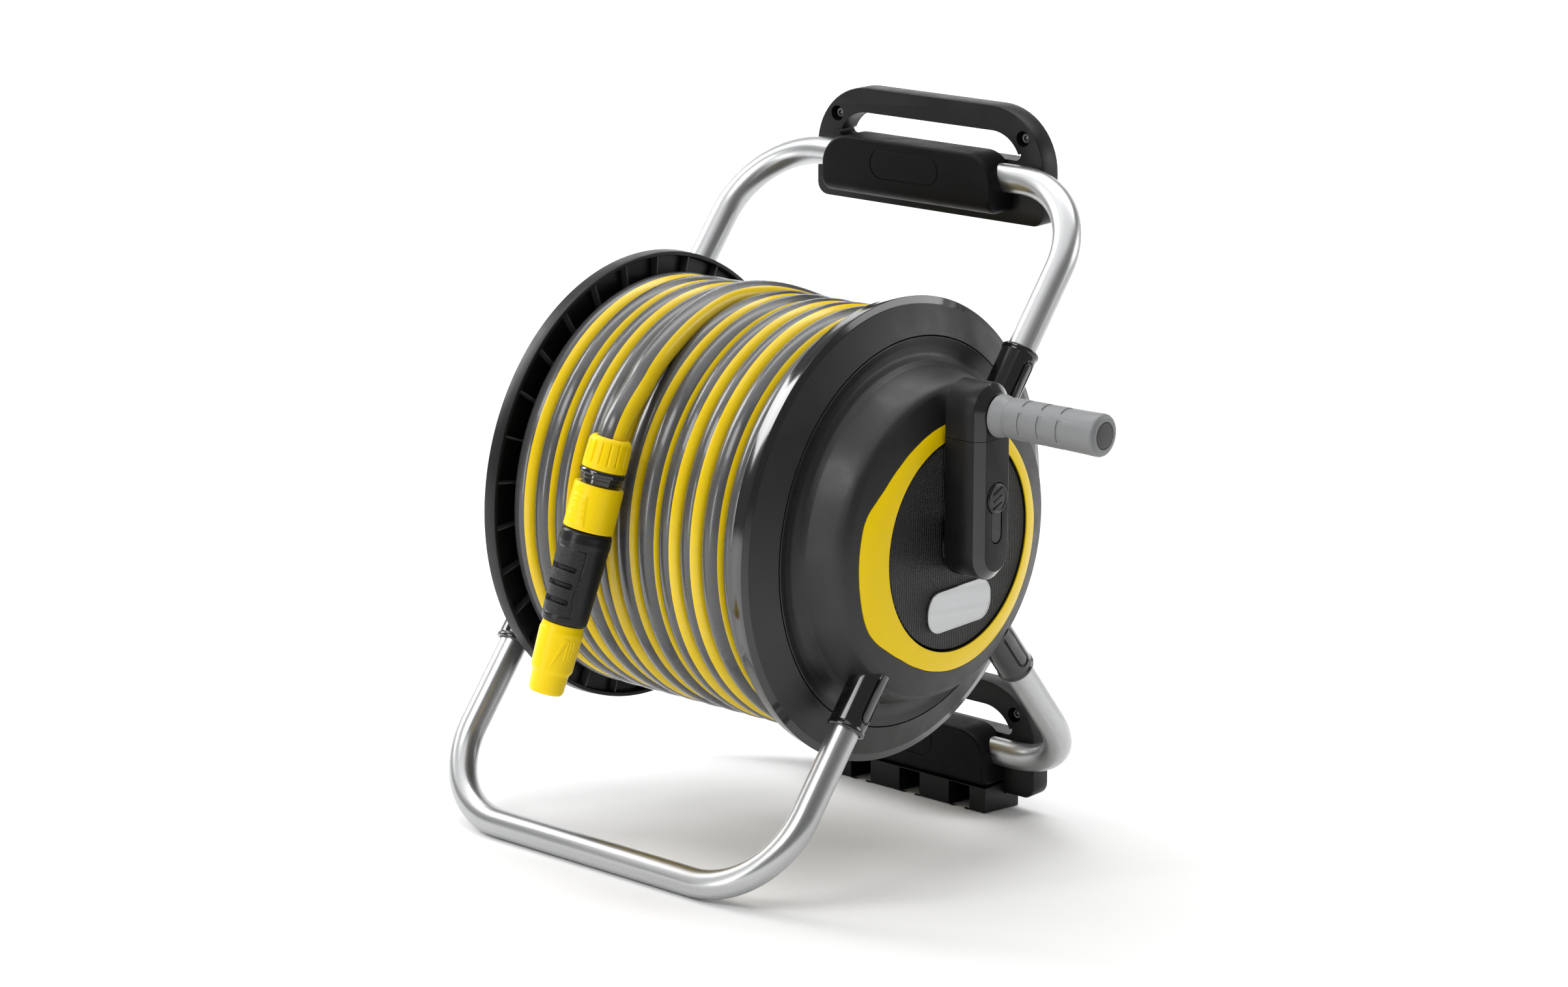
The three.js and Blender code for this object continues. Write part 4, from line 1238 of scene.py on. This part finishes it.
for x in (-44, 7, 58):
    cut(holder, block(x - 10.5, x + 10.5, 165, 208, HOLDER_TOP - 23.5, HOLDER_TOP - 0.8))
    cut(holder, block(x - 5.6, x + 5.6, 165, 188, -320, HOLDER_TOP - 10))
    for side in (-1, 1):
        lip = block(x + side * 7.5 - 2.2, x + side * 7.5 + 2.2, 173.2, 174.9, HOLDER_TOP - 23.8,
                    HOLDER_TOP - 20.0)
        piece(f"holder_lip_{x + 100}_{'left' if side < 0 else 'right'}", lip, matt_black, "frame")
print("holder made")

# %% [markdown]
# ## Water inlet
# On the left side, water comes in through a swivelling elbow with a snap nipple.

# %% Inlet
OUT = radial(0, 1, 300)
BEND = np.array([-224.0, 0, 0])
elbow_line = [np.array([-206.4, 0, 0]), np.array([-209, 0, 0]), np.array([-212.0, 0, 0])]
for t in np.linspace(0, 1, 13)[1:]:
    a, b, c = np.array([-212.0, 0, 0]), BEND, BEND + OUT * 14
    elbow_line.append((1 - t) ** 2 * a + 2 * t * (1 - t) * b + t * t * c)
elbow_line += [BEND + OUT * 18, BEND + OUT * 22]
shape, _ = swept(elbow_line, 11.5, 7.0, 48)
piece("elbow", shape, satin_black, "inlet", ["inlet_elbow"], sharp=50)

def knurl(angle):
    return 14.5 - 0.5 * (1 - abs(math.sin(angle * 12)))


collar = [(-211, 9.4), (-211, 13.2), (-210.2, 14.2), (-209.5, knurl), (-198, knurl), (-197.2, 14.2),
          (-196.5, 13.2),
          (-196.5, 9.4)]
piece("elbow_collar", turned(collar, 144), matt_black, "inlet")
third = np.cross(OUT, [1, 0, 0])
AT_OUTLET = Matrix(((OUT[0], 1, third[0], BEND[0]), (OUT[1], 0, third[1], BEND[1]),
                    (OUT[2], 0, third[2], BEND[2]), (0, 0, 0, 1)))
nipple = eased([(22.3, 6), (22.3, 12.8), (26.6, 12.8), (27.2, 8.4), (30.6, 8.4), (31, 7.9), (33, 7.9),
                (33.4, 8.4),
                (36, 8.4), (36.4, 9.6), (39.8, 9.4), (40.4, 7.3), (48.2, 6.9), (49, 6.2), (49, 4.8), (44,
                                                                      4.8),
                (44, 6)], 0.35)
piece("snap_nipple", turned(nipple, 96), yellow, "inlet", ["inlet_nipple"], AT_OUTLET)

# %% [markdown]
# ## Parts that keep their CAD shape
# Bushes, shafts and seals are plain turned parts, exact as they are. They only need a
# finish, which goes into the material slots of the CAD objects.

# %% Finishes for the CAD parts
carried = {"bush_right": brass, "bush_left": brass, "crank_shaft": steel, "water_spindle": brass,
           "spindle_seal": seal_rubber, "drum_outlet": matt_black, "grip_pin": steel, "reel_core": inner_black}
for name, finish in carried.items():
    node = frame["nodes"][name]
    if not node.material_slots:
        node.data.materials.append(finish)
    for entry in node.material_slots:
        entry.material = finish
print("carried over:", sorted(carried))

# %% [markdown]
# ## Studio
# A pale floor that sweeps up behind the object, and large soft lights. A key light from the
# upper left draws the long highlights on the hose and the rim. A second from behind on the
# right opens the shadows, and a light of its own keeps the backdrop near white.

# %% Floor and backdrop
floor_finish, tree, shader = nodes_of("studio paper")
blotch(tree, shader, (0.93, 0.93, 0.93), 0.01, 2.0)
shader.inputs["Roughness"].default_value = 0.85
shader.inputs["Specular IOR Level"].default_value = 0.2
look = Vector((-sin_a, cos_a, 0))
across_view = Vector((cos_a, sin_a, 0))
SWEEP_START, SWEEP_R, SWEEP_TOP, PAPER_HALF = 1.7, 0.9, 1.9, 4.5
sweep_line = [(-6.0, 0.0), (SWEEP_START, 0.0)]
sweep_line += [(SWEEP_START + SWEEP_R * math.sin(t), SWEEP_R * (1 - math.cos(t)))
               for t in np.linspace(0, math.pi / 2, 16)[1:]]
sweep_line += [(SWEEP_START + SWEEP_R, SWEEP_TOP)]
verts, faces = [], []
for distance, height in sweep_line:
    for side in (-PAPER_HALF, PAPER_HALF):
        p = look * distance + across_view * side
        verts.append((p.x, p.y, height - 0.0003))
for k in range(len(sweep_line) - 1):
    faces.append((2 * k, 2 * k + 1, 2 * k + 3, 2 * k + 2))
paper_mesh = bpy.data.meshes.new("paper")
paper_mesh.from_pydata(verts, [], faces)
paper_mesh.shade_smooth()
paper_mesh.materials.append(floor_finish)
paper = new_object("paper", paper_mesh)

# %% Lights


def soft_light(name, place, target, size, watts):
    data = bpy.data.lights.new(name, "AREA")
    data.shape = "RECTANGLE"
    data.size, data.size_y = size
    data.energy = watts
    lamp = new_object(name, data)
    lamp.location = place
    lamp.rotation_mode = "QUATERNION"
    lamp.rotation_quaternion = (Vector(target) - Vector(place)).to_track_quat("-Z", "Y")


middle = Vector((0, 0, 0.27))
soft_light("key", middle + Vector((-2.1, -0.6, 1.15)), middle, (0.9, 1.2), 28)
soft_light("front", middle + Vector((-0.3, -2.4, 1.8)), middle, (1.5, 0.9), 30)
soft_light("strip", middle + Vector((-0.45, -2.1, 0.1)), middle, (0.3, 0.9), 7)
soft_light("rear right", middle + Vector((1.7, 2.0, 0.75)), middle, (1.6, 1.0), 14)
soft_light("top", middle + look * 0.3 + Vector((0, 0, 2.7)), middle + look * 0.3, (4.0, 4.0), 55)
soft_light("backdrop", middle + look * 0.9 + Vector((0, 0, 2.5)), middle + look * 2.6, (4.0, 1.2), 52)

world = bpy.data.worlds.new("studio air")
bpy.context.scene.world = world
world.use_nodes = True
world.node_tree.nodes["Background"].inputs["Color"].default_value = (1, 1, 1, 1)
world.node_tree.nodes["Background"].inputs["Strength"].default_value = 0.25
bpy.context.scene.view_settings.view_transform = "Standard"
print("studio ready")
